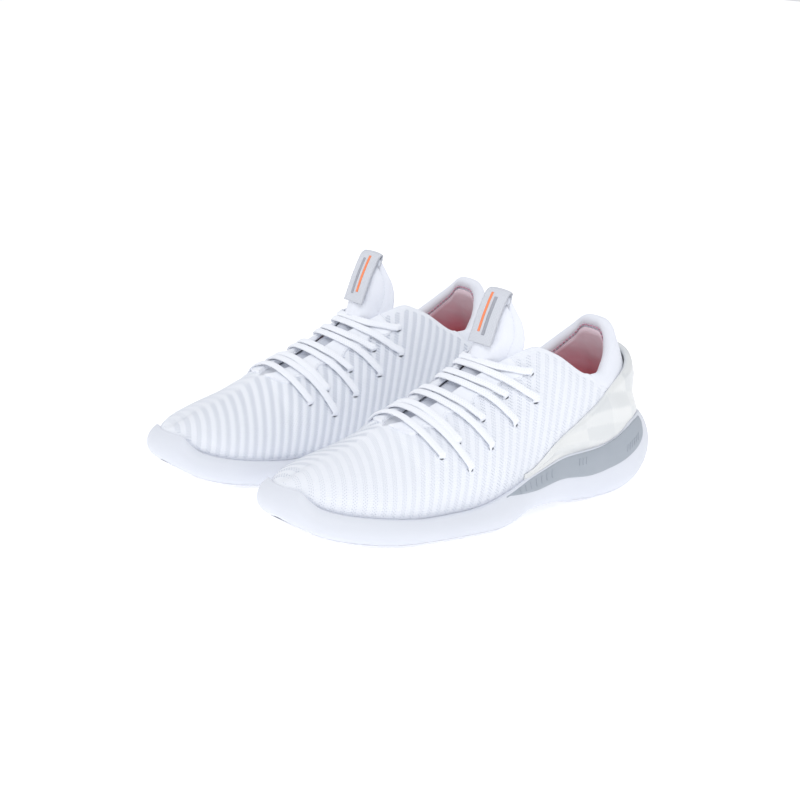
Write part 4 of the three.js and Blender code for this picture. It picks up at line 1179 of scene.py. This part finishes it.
def tab_path(step=0.8):
    """Places up the front, over the tip and down the back, with the way out of the pad."""
    b = np.linspace(0.08, 1.0, 60)
    zero = np.zeros_like(b)
    _, outer, inner = flap_depths(zero, (b - flap_start(0)) / (1 - flap_start(0)))
    eased = np.interp(b, [0.08, 0.55, 0.8, 0.95, 1.0], [1.6, 1.6, 1.0, 0.3, -0.5])
    front = flap_point(zero, b, np.maximum(outer, eased) * 0.2 + eased * 0.8 + 0.25)
    back = flap_point(zero, b, np.minimum(inner, -2.6) - 0.25)
    out = unit(front - back)
    up_end = unit(front[-1] - front[-2])
    middle, half = (front[-1] + back[-1]) / 2, np.linalg.norm(front[-1] - back[-1]) / 2
    arc = [middle + out[-1] * half * math.cos(x) + up_end * half * 1.3 * math.sin(x)
           for x in np.linspace(0, math.pi, 12)[1:-1]]
    arc_out = [out[-1] * math.cos(x) + up_end * math.sin(x) for x in np.linspace(0, math.pi, 12)[1:-1]]
    points = np.concatenate([front, arc, back[:36:-1]])
    faces = np.concatenate([out, arc_out, -out[:36:-1]])
    return points, unit(faces)


path, path_out = tab_path()
run = distance_along(path)
print("the tape of the tab is", round(float(run[-1])), "mm long when flat")
even_run = np.arange(0, run[-1], 0.8)
centre = np.stack([np.interp(even_run, run, path[:, k]) for k in range(3)], -1)
out = unit(np.stack([np.interp(even_run, run, path_out[:, k]) for k in range(3)], -1))


def tape(name, centre, out, run_mm, width, lift, thick, columns=14, middle=0.0):
    """A woven strip along a path. Its sides follow the round of the tongue."""
    across = np.linspace(-width / 2, width / 2, columns) + middle
    edge = width / 2 - np.abs(across - middle)
    rounded = np.sqrt(1 - (1 - np.clip(edge / 0.5, 0, 1)) ** 2)
    fall = -(across ** 2) * 0.0085
    x_axis = np.array([1.0, 0, 0])
    base = centre[:, None] + x_axis * across[:, None]
    top = base + out[:, None] * (fall + lift + thick * (0.5 + 0.5 * rounded))[:, None]
    low = base + out[:, None] * (fall + lift + thick * (0.5 - 0.5 * rounded))[:, None]
    section = np.concatenate([top, low[:, ::-1]], axis=1)
    u = np.broadcast_to(np.concatenate([across, across[::-1]]), section.shape[:2])
    w = np.broadcast_to(run_mm[:, None], section.shape[:2])
    return skin(name, section, uv=np.stack([u, w], -1))


fit_pair("woven_tab", tape("woven_tab", centre, out, even_run, TAB_WIDTH, 0.0, TAB_THICK), grey_webbing,
         nodes=["tongue_tab"], bend=bend_line)
def print_on_tab(name, start, end, colour, *size, **place):
    """A flat print on the tape, between two lengths along it."""
    part = (even_run > start) & (even_run < end)
    printed = tape(name, centre[part], out[part], even_run[part], *size, **place)
    fit_pair(name, printed, colour, bend=bend_line)


print_on_tab("orange_bar", 7, 33, orange_print, 2.4, TAB_THICK - 0.05, 0.18, 6, middle=-2.6)
print_on_tab("grey_bar", 5, 31, grey_print, 2.8, TAB_THICK - 0.05, 0.18, 6, middle=2.2)
print_on_tab("tab_edge_line", 37.2, 38.2, orange_print, 21.6, TAB_THICK - 0.05, 0.16, 14)

# %% [markdown]
# ## The padded heel collar
# The collar is cloth wrapped over soft foam: up the outside, over the top edge and down the inside. Its
# section is a path round the top of the last, and every station adds one ring. It is fullest just under the
# top, is caught by a seam under 7 mm down the inside, and tapers where it meets the knit at the sides.

# %% Collar
COLLAR_THICK = 8.0
COLLAR_HEM = 78.0          # mm over the ground, inside


def collar_ring(side, s, columns=(18, 12, 22)):
    """One closed ring per station: outside, over the top, inside, and back through the middle."""
    side, s = side[:, None], s[:, None]
    taper = smooth(np.minimum(length_at(s) - length_at(COLLAR_FRONT - 0.012), 14) / 14, -0.05, 1)
    thick = 1.6 + (COLLAR_THICK - 1.6) * taper
    length = np.linalg.norm(upper(side, s, 1.0) - upper(side, s, 0.9), axis=-1) * 10
    top = 1 - thick / 2 / length
    low_out = np.minimum(height_to_v(upper, side, s, knit_top_at_heel(s) - 0.5), top - 0.02)
    low_in = np.minimum(height_to_v(upper, side, s, COLLAR_HEM), top - 0.02)
    n_out, n_over, n_in = columns
    k = np.linspace(0, 1, n_out)
    out_v = low_out + (top - low_out) * k
    out_d = 0.35 * np.sin(math.pi * k) * taper + 0 * out_v
    turn = np.linspace(0, math.pi, n_over)[1:-1]
    over_v = top + thick / 2 * np.sin(turn) / length
    over_d = -thick / 2 + thick / 2 * np.cos(turn)
    k = np.linspace(0, 1, n_in)
    in_v = top + (low_in - top) * k
    seam = np.exp(-(((1 - in_v) * length - 6.6) / 0.8) ** 2)
    in_d = -thick - 0.5 * np.sin(math.pi * k) * taper + 0.8 * seam * taper
    v = np.concatenate([out_v, over_v, in_v], axis=1)
    d = np.concatenate([out_d, over_d, in_d], axis=1)
    return offset(upper, side, s, v, d)


side, s = both_sides(even(COLLAR_FRONT - 0.012, 1, 1.6))
collar = skin("padded_collar", collar_ring(side, s))
fit_pair("padded_collar", collar, smooth_textile, nodes=["heel_collar", "collar_foam"])

# the rose seam that holds the lining to the collar
s_row = even(COLLAR_FRONT + 0.01, 1, 1.5)
side, s = both_sides(s_row)
length = np.linalg.norm(upper(side, s, 1.0) - upper(side, s, 0.9), axis=-1) * 10
v = 1 - 5.5 / length
rose_row = (offset(upper, side, s, v, np.full(len(s), -COLLAR_THICK - 0.25)), -normal_of(upper, side, s, v))
collar_row = grow(line_mesh([rose_row]), stitch_tree, rose_thread, Pitch=2.6, Length=1.9, Width=1.0)
fit_pair("collar_stitches", collar_row, rose_thread)

# %% [markdown]
# ## Lining and insole
# The lining is a thin rose cloth against the inside of the knit. Over the collar it reaches up to the seam,
# so the pale band above it is the collar's own cloth. The loose insole lies on the floor of the shoe: foam
# with a cloth cover, slightly dished, with a soft edge.

# %% Lining
LINING_DEPTH = -(KNIT + FIT + 1.6 + 1.6)
stations = np.concatenate([station_at(np.linspace(0, throat_length, 70)), even(THROAT, 1, 2.0)[1:]])
side, s = all_round(stations)
side, s = side[:, None], s[:, None]
foot = height_to_v(upper, side, s, floor_height(s) + 2)
reach = np.where(s < THROAT - 0.02, 0.0, np.where(s < 0.5, 20.5, np.maximum(20.5 - (s - 0.5) * 180, 3.0)))
throat_top = below_top(side, s, np.where(s < DIP, reach, 3.0))
length = np.linalg.norm(upper(side, s, 1.0) - upper(side, s, 0.9), axis=-1) * 10
collar_top = 1 - 7.0 / length
blend_in = smooth(s, DIP - 0.03, COLLAR_FRONT + 0.02)
top = np.where(s < DIP - 0.03, throat_top, throat_top * (1 - blend_in) + collar_top * blend_in)
k = np.linspace(0, 1, 22)
v = foot + (top - foot) * k
behind_collar = smooth(v, 0.2, 0.45) * blend_in
depth = LINING_DEPTH - behind_collar * (COLLAR_THICK + LINING_DEPTH + 0.35) + 0 * v
outer = offset(upper, side, s, v, depth)
inner = offset(upper, side, s, v[:, ::-1], depth[:, ::-1] - 0.9)
section = np.concatenate([outer, inner], axis=1)
lining = skin("sock_lining_cloth", section, loop=True)
fit_pair("sock_lining_cloth", lining, rose_lining, nodes=["sock_lining"])

# %% Insole
INSOLE_INSET = 0.4 - LINING_DEPTH + 2.2


def insole_mesh():
    s = even(0.045, 0.975, 2.4)
    rings = []
    for which in (1, -1):
        side = np.full_like(s, which)[:, None]
        station = s[:, None]
        z0 = floor_height(station) + 1.9
        rise = np.array([0.0, 0.3, 1.6, 3.4, 4.8, 5.6, 5.8])
        draw = np.array([1.2, 0.3, 0.0, 0.0, 0.25, 1.1, 2.4])
        v = height_to_v(upper, side, station, z0 + rise)
        edge = offset(upper, side, station, v, -(INSOLE_INSET + draw) + 0 * v)
        edge[..., 2] = z0 + rise
        top = edge[:, -1:]
        middle = top * [0, 1, 1] + centre_line(station)[..., None] * [1, 0, 0]
        inward = [top * (1 - q) + middle * q for q in (0.1, 0.25, 0.45, 0.7, 0.95)]
        for q, row in zip((0.1, 0.25, 0.45, 0.7, 0.95), inward):
            row[..., 2] = (z0 + 5.8 - 1.1 * smooth(q, 0, 0.6)).reshape(row[..., 2].shape)
        rings.append(np.concatenate([edge, *inward], axis=1))
    return skin("loose_insole", np.concatenate([rings[0], rings[1][:, ::-1]], axis=1))


fit_pair("loose_insole", insole_mesh(), rose_lining, body="insole",
         nodes=["insole_cover", "insole_foam"])

# %% [markdown]
# ## The heel strap
# The strap is moulded from pearly TPU. It starts as a point low on the quarter, climbs to the heel and
# stands off the collar there. Its face is cut in soft flat facets, which catch the light one by one. The
# facets are a grid of bent triangles: each corner is moved in or out a little by a fixed pattern, and
# the faces between are left flat. Each triangle also gets a fixed share of a darker colour: painted shade
# and sheen for the light that it catches.

# %% Faceted strap
STRAP_FRONT = 0.535
strap_top = profile([(STRAP_FRONT, 29), (0.6, 44), (0.65, 54), (0.7, 64), (0.75, 72), (0.8, 77), (0.87, 83),
                     (0.93, 88), (1, 91)])


def strap_gap(side, s, v):
    height = upper(side, s, v)[..., 2]
    return 0.35 + 4.45 * smooth(s, 0.74, 0.9) * smooth(height, 58, 92)


def strap_band(side, s):
    low = height_to_v(upper, side, s, rim_height(s) - 1.0)
    high = height_to_v(upper, side, s, np.maximum(strap_top(s), rim_height(s) + 0.6))
    return low, high


FACETS = np.array([[0.0, 1.5, 0.2, 1.7, 0.1], [1.2, 0.1, 1.8, 0.3, 1.3], [0.2, 1.6, 0.0, 1.5, 0.4],
                   [1.4, 0.3, 1.3, 0.1, 1.6], [0.1, 1.9, 0.4, 1.4, 0.0], [1.7, 0.2, 1.6, 0.5, 1.5]])
FACET_LONG = 24.0          # mm along the strap between two corners of the pattern


def facet_place(length, share):
    """Which folded cell a place is in, and where inside it."""
    length, share = np.broadcast_arrays(length / FACET_LONG, share * 2.999)
    i, j = np.floor(length).astype(int), np.floor(share).astype(int)
    return i, j, length - i, share - j


def facet_relief(length, share):
    """Height of the face: flat triangles between the corners of the pattern."""
    i, j, x, y = facet_place(length, share)
    corner = lambda di, dj: FACETS[(i + di) % 6, np.minimum(j + dj, 4)]
    a, b, c, d = corner(0, 0), corner(1, 0), corner(0, 1), corner(1, 1)
    lower = a + (b - a) * x + (c - a) * y
    higher = d + (c - d) * (1 - x) + (b - d) * (1 - y)
    return np.where(x + y < 1, lower, higher)


def facet_tone(length, share):
    """Painted shade and sheen: a fixed share for each triangle, standing in for the light that each one
    catches.
    """
    i, j, x, y = facet_place(length, share)
    return ((i * 5 + j * 3 + (x + y < 1) * 4) % 7) / 6


side, s = both_sides(even(STRAP_FRONT, 1, 1.0))
side, s = side[:, None], s[:, None]
low, high = strap_band(side, s)
t = np.linspace(0, 1, 26)
v = low + (high - low) * t
tall = np.linalg.norm(upper(side, s, high) - upper(side, s, low), axis=-1)
edge = np.minimum(np.minimum(t, 1 - t) * tall, (length_at(s) - length_at(STRAP_FRONT)) * 0.6)
rounded = np.sqrt(1 - (1 - np.clip(edge / 0.9, 0, 1)) ** 2)
relief = facet_relief(length_at(s), t) * smooth(edge, 0.5, 3.0)
gap = strap_gap(side, s, v)
outer = offset(upper, side, s, v, gap + 0.3 + 1.1 * rounded + relief)
inner = offset(upper, side, s, v[:, ::-1], (0.3 + 0.3 * gap - 0.2 * rounded)[:, ::-1])
section = np.concatenate([outer, inner], axis=1)
# painted shade and sheen per facet on the outer face, fading out towards the front point; the inner face gets
# no facet share, so it stays darker
painted_facet_shade = np.zeros(section.shape[:2])
painted_facet_shade[:, :len(t)] = 1 - (1 - facet_tone(length_at(s), t)) * smooth(s, STRAP_FRONT, 0.72)
strap = skin("heel_strap_moulding", section, facet=painted_facet_shade)
fit_pair("heel_strap_moulding", strap, pearl_strap, nodes=["heel_strap"])

# %% [markdown]
# ## The emblem
# On the back of the strap sits a small grey badge. It is a plain raised lozenge, laid on the strap's own
# surface, so it follows the round of the heel.

# %% Heel badge
side, s = both_sides(np.linspace(0.955, 1, 14))
side, s = side[:, None], s[:, None]
across = (length_at(s) - GIRTH) * side * -1
half_height = 6.0 * np.sqrt(np.clip(1 - (across / np.abs(across).max()) ** 2, 0, 1)) + 0.05
t = np.linspace(-1, 1, 12)
v = height_to_v(upper, side, s, 74 + half_height * t)
gap = strap_gap(side, s, v) + 2.0
rounded = (np.sqrt(np.clip(1 - np.abs(t) ** 4, 0, 1))
           * np.sqrt(np.clip(1 - (across / np.abs(across).max()) ** 6, 0, 1)))
outer = offset(upper, side, s, v, gap + 1.0 * rounded)
inner = offset(upper, side, s, v[:, ::-1], gap - 1.0)
x = np.broadcast_to(across, (len(s), 24))
y = np.broadcast_to(np.concatenate([t * 6, t[::-1] * 6]), (len(s), 24))
fit_pair("heel_badge", skin("heel_badge", np.concatenate([outer, inner], axis=1), uv=np.stack([x, y], -1)),
         grey_webbing, nodes=["heel_emblem"])

# %% [markdown]
# ## The lace
# One flat lace runs through the whole shoe. At each row it passes from an inner hole straight to the inner
# hole opposite, and from an outer hole to the outer hole opposite, so two strands lie side by side over
# the throat. It is held all the way, so it isn't a free cord. Its path is a smooth curve through known
# places, and an oval section is swept along it, with its flat side kept to the shoe.

# %% Route of the lace
INNER_HOLES = [(0.4, 47), (0.435, 53.5), (0.478, 63.5), (0.528, 74.5), (0.582, 86.5)]
OUTER_HOLES = [None, (0.435, 40), (0.474, 50), (0.523, 60.5), (0.572, 72)]
CROSSINGS = [(0.388,), (0.412, 0.4245), (0.4497, 0.4622), (0.4877, 0.5002), (0.525, 0.5375)]
LACE_LIFT = 0.4 + 1.0 + 1.2 + 0.8
LACE_UNDER = -(KNIT + 1.6 + 0.8)
THROAT_RISE = 3.0


def lace_point(side, s, v, depth):
    side, s, v = (np.array(float(x)) for x in (side, s, v))
    return offset(upper, side, s, v, depth), normal_of(upper, side, s, v)


def hole_v_at(side, hole):
    return float(height_to_v(upper, np.array(float(side)), np.array(hole[0]), np.array(float(hole[1]))))


def through(side, hole, is_outer):
    v = hole_v_at(side, hole)
    edge = 0.012
    inside = [(3 * edge, LACE_UNDER), (-edge, -1.2)] if is_outer else [(-3 * edge, LACE_UNDER), (0, -0.8)]
    outside = [(1.3 * edge, LACE_LIFT - 0.9)]
    return [lace_point(side, hole[0], v + shift, depth) for shift, depth in inside + outside]


def pulled_tight(points):
    """Lifts the points between two contacts, as a lace under tension bridges a hollow."""
    points = points[np.argsort(points[:, 0])]
    kept = []
    for point in points:
        while len(kept) > 1:
            (x0, _, z0), (x1, _, z1) = kept[-2], kept[-1]
            if (z1 - z0) * (point[0] - x0) > (point[2] - z0) * (x1 - x0):
                break
            kept.pop()
        kept.append(point)
    kept = np.array(kept)
    return lambda x: np.interp(x, kept[:, 0], kept[:, 2])


def strand(side, hole, crossing):
    """One strand over the shoe: down both flanks it lies on the knit, between them it is taut."""
    shares = np.linspace(0.2, 1.0, 9)

    def half(which):
        v = hole_v_at(which, hole)
        return [lace_point(which, hole[0] + (crossing - hole[0]) * t, v + (1 - v) * t,
                           LACE_LIFT - 1.3 * (1 - t)) for t in shares]
    out, back = half(side), half(-side)[::-1]
    middle = ((out[-1][0] + back[0][0]) / 2 + UP * THROAT_RISE, unit(out[-1][1] + back[0][1]))
    route = [*out, middle, *back]
    points = np.array([point for point, _ in route])
    tight = pulled_tight(points)
    points[:, 2] = tight(points[:, 0])
    for _ in range(3):
        points[1:-1] = points[1:-1] * 0.5 + (points[:-2] + points[2:]) * 0.25
    return [(point, normal) for point, (_, normal) in zip(points, route)][::2]


lace_points = []
for row in range(4, 0, -1):
    for holes_used, crossing, start, is_outer in ((OUTER_HOLES, CROSSINGS[row][0], 1, True),
                                                  (INNER_HOLES, CROSSINGS[row][1], -1, False)):
        lace_points += through(start, holes_used[row], is_outer)
        lace_points += strand(start, holes_used[row], crossing)
        lace_points += through(-start, holes_used[row], is_outer)[::-1]
lace_points += through(1, INNER_HOLES[0], False) + strand(1, INNER_HOLES[0], CROSSINGS[0][0])
lace_points += through(-1, INNER_HOLES[0], False)[::-1]


def smooth_path(points, per_span):
    """A Catmull-Rom curve through points."""
    p = np.concatenate([[2 * points[0] - points[1]], points, [2 * points[-1] - points[-2]]])
    t = np.linspace(0, 1, per_span, endpoint=False)[:, None]
    spans = [0.5 * (2 * b + (c - a) * t + (2 * a - 5 * b + 4 * c - d) * t ** 2
                    + (3 * b - a - 3 * c + d) * t ** 3)
             for a, b, c, d in zip(p[:-3], p[1:-2], p[2:-1], p[3:])]
    return np.concatenate([*spans, points[-1:]])


path = smooth_path(np.array([p for p, _ in lace_points]), 7)
facing = unit(smooth_path(np.array([n for _, n in lace_points]), 7))
run = distance_along(path)
travel = unit(np.gradient(path, axis=0))
width = np.zeros_like(path)
last = np.array([0, 1.0, 0])
for i in range(len(path)):
    level_way = np.cross(travel[i], facing[i])
    if np.linalg.norm(level_way) > 0.35:
        level_way *= np.sign(level_way @ last) or 1
        last = 0.6 * last + 0.4 * unit(level_way)
    last = unit(last - travel[i] * (last @ travel[i]))
    width[i] = last
normal = np.cross(width, travel)
SIDES = 20
LACE_WIDTH, LACE_THICK = 4.7, 1.9
angle = 2 * math.pi * np.arange(SIDES) / SIDES
round_x = np.sign(np.cos(angle)) * np.abs(np.cos(angle)) ** 0.8
round_y = np.sign(np.sin(angle)) * np.abs(np.sin(angle)) ** 0.9
dent = 1 - 0.12 * np.exp(-(np.cos(angle) / 0.25) ** 2)
section = (path[:, None] + width[:, None] * (LACE_WIDTH / 2 * round_x)[None, :, None]
           + normal[:, None] * (LACE_THICK / 2 * round_y * dent)[None, :, None])
around = np.arange(SIDES) / SIDES * (2 * LACE_WIDTH + 2 * LACE_THICK) * 0.8
around = np.broadcast_to(around, section.shape[:2])
along = np.broadcast_to(run[:, None], section.shape[:2])
lace_mesh = skin("flat_lace", section, uv=np.stack([along, around], -1))
print("the lace in one shoe is", round(float(run[-1])), "mm long where it is threaded")
fit_pair("flat_lace", lace_mesh, flat_braid, nodes=["lace"])

# %% [markdown]
# ## Lace holes
# The lace goes through plain holes in the knit, and a little shadow shows beside it in each. A small dark
# oval under each hole, set by the third tree, makes that shadow.

# %% Shadows in the lace holes
places = [(which, hole, 0.010) for which in (1, -1) for hole in OUTER_HOLES[1:]]
places += [(which, hole, 0.0) for which in (1, -1) for hole in INNER_HOLES]
hole_side = np.array([float(which) for which, _, _ in places])
hole_s = np.array([hole[0] for _, hole, _ in places])
hole_v = np.array([hole_v_at(which, hole) - shift * 1.6 for which, hole, shift in places])
points = marks_on(upper, hole_side, hole_s, hole_v, 0.2, np.ones(len(places)))
shadows = grow(points, mark_tree, hole_shadow, Across=3.4, Along=2.2, Thick=0.7)
fit_pair("lace_hole_shadows", shadows, hole_shadow)

# %% [markdown]
# ## Hidden pieces
# The board and the stiffeners are inside the shoe. Their CAD solids have the right shape, so they stay,
# and only get the material of what they are.

# %% Finishes for the carried-over CAD solids
for shoe in PLACE:
    for node in ("strobel_board", "toe_puff", "heel_counter"):
        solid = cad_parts[f"{shoe}_{node}"]
        solid.data.materials.clear()
        solid.data.materials.append(board)

# %% [markdown]
# ## Floor, light and camera
# A plain white floor and big soft lights give the even, nearly shadowless look of a catalogue studio. The
# camera stands low in front of the shoes, a little to the left shoe's outer side, with a long lens, so the
# pair shows little perspective.

# %% Studio
bpy.ops.mesh.primitive_plane_add(size=8, location=(0, 0, -0.0003))
floor = bpy.context.object
floor.name = "floor"
paper, tree, shader = material("white paper", "#FFFFFF", 0.95)
place = surface_mm(tree, "Object")
tree.links.new(mixed(tree, noise(tree, place, 300), "#FDFDFF", "#FFFFFF"), shader.inputs["Base Color"])
shader.inputs["Emission Color"].default_value = (1, 1, 1, 1)
shader.inputs["Emission Strength"].default_value = 0.36
floor.data.materials.append(paper)
floor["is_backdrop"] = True

world = bpy.data.worlds.new("studio")
bpy.context.scene.world = world
world.use_nodes = True
world.node_tree.nodes["Background"].inputs["Color"].default_value = (0.96, 0.975, 1, 1)
world.node_tree.nodes["Background"].inputs["Strength"].default_value = 0.76


def soft_light(name, where, aim, size, power):
    lamp = bpy.data.lights.new(name, "AREA")
    lamp.shape, lamp.size, lamp.energy = "DISK", size, power
    holder = bpy.data.objects.new(name, lamp)
    holder.location = where
    holder.rotation_euler = (Vector(aim) - Vector(where)).to_track_quat("-Z", "Y").to_euler()
    bpy.context.scene.collection.objects.link(holder)


soft_light("key", (0.9, -0.6, 1.5), (0.05, 0, 0.05), 0.9, 8)
soft_light("fill", (-1.2, -1.0, 0.9), (0, 0, 0.05), 1.2, 2.5)

# the camera is set in the left shoe's frame and then turned into the pair's
AZIMUTH, ELEVATION, ROLL = math.radians(52.88), math.radians(14.71), math.radians(1.79)
AIM, DISTANCE = Vector((-73.3, 5.1, 50)), 1322.0   # mm
back = Vector((math.sin(AZIMUTH) * math.cos(ELEVATION), -math.cos(AZIMUTH) * math.cos(ELEVATION),
               math.sin(ELEVATION)))
right = Vector((math.cos(AZIMUTH), math.sin(AZIMUTH), 0))
up = back.cross(right)
turned_right = right * math.cos(ROLL) + up * math.sin(ROLL)
turned_up = up * math.cos(ROLL) - right * math.sin(ROLL)
pose = Matrix((turned_right, turned_up, back)).transposed().to_4x4()
pose.translation = AIM + back * DISTANCE
pose = stand @ pose
pose.translation = pose.translation / 1000
camera_data = bpy.data.cameras.new("camera")
camera_data.sensor_width = 36.0
camera_data.lens = 2058 / 800 * 36
camera = bpy.data.objects.new("camera", camera_data)
camera.matrix_world = pose
bpy.context.scene.collection.objects.link(camera)
bpy.context.scene.camera = camera
bpy.context.scene.view_settings.view_transform = "Standard"

# %% Sizes, and the end
low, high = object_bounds()
print("CAD box", cad_box, "visual box", [list(low), list(high)])
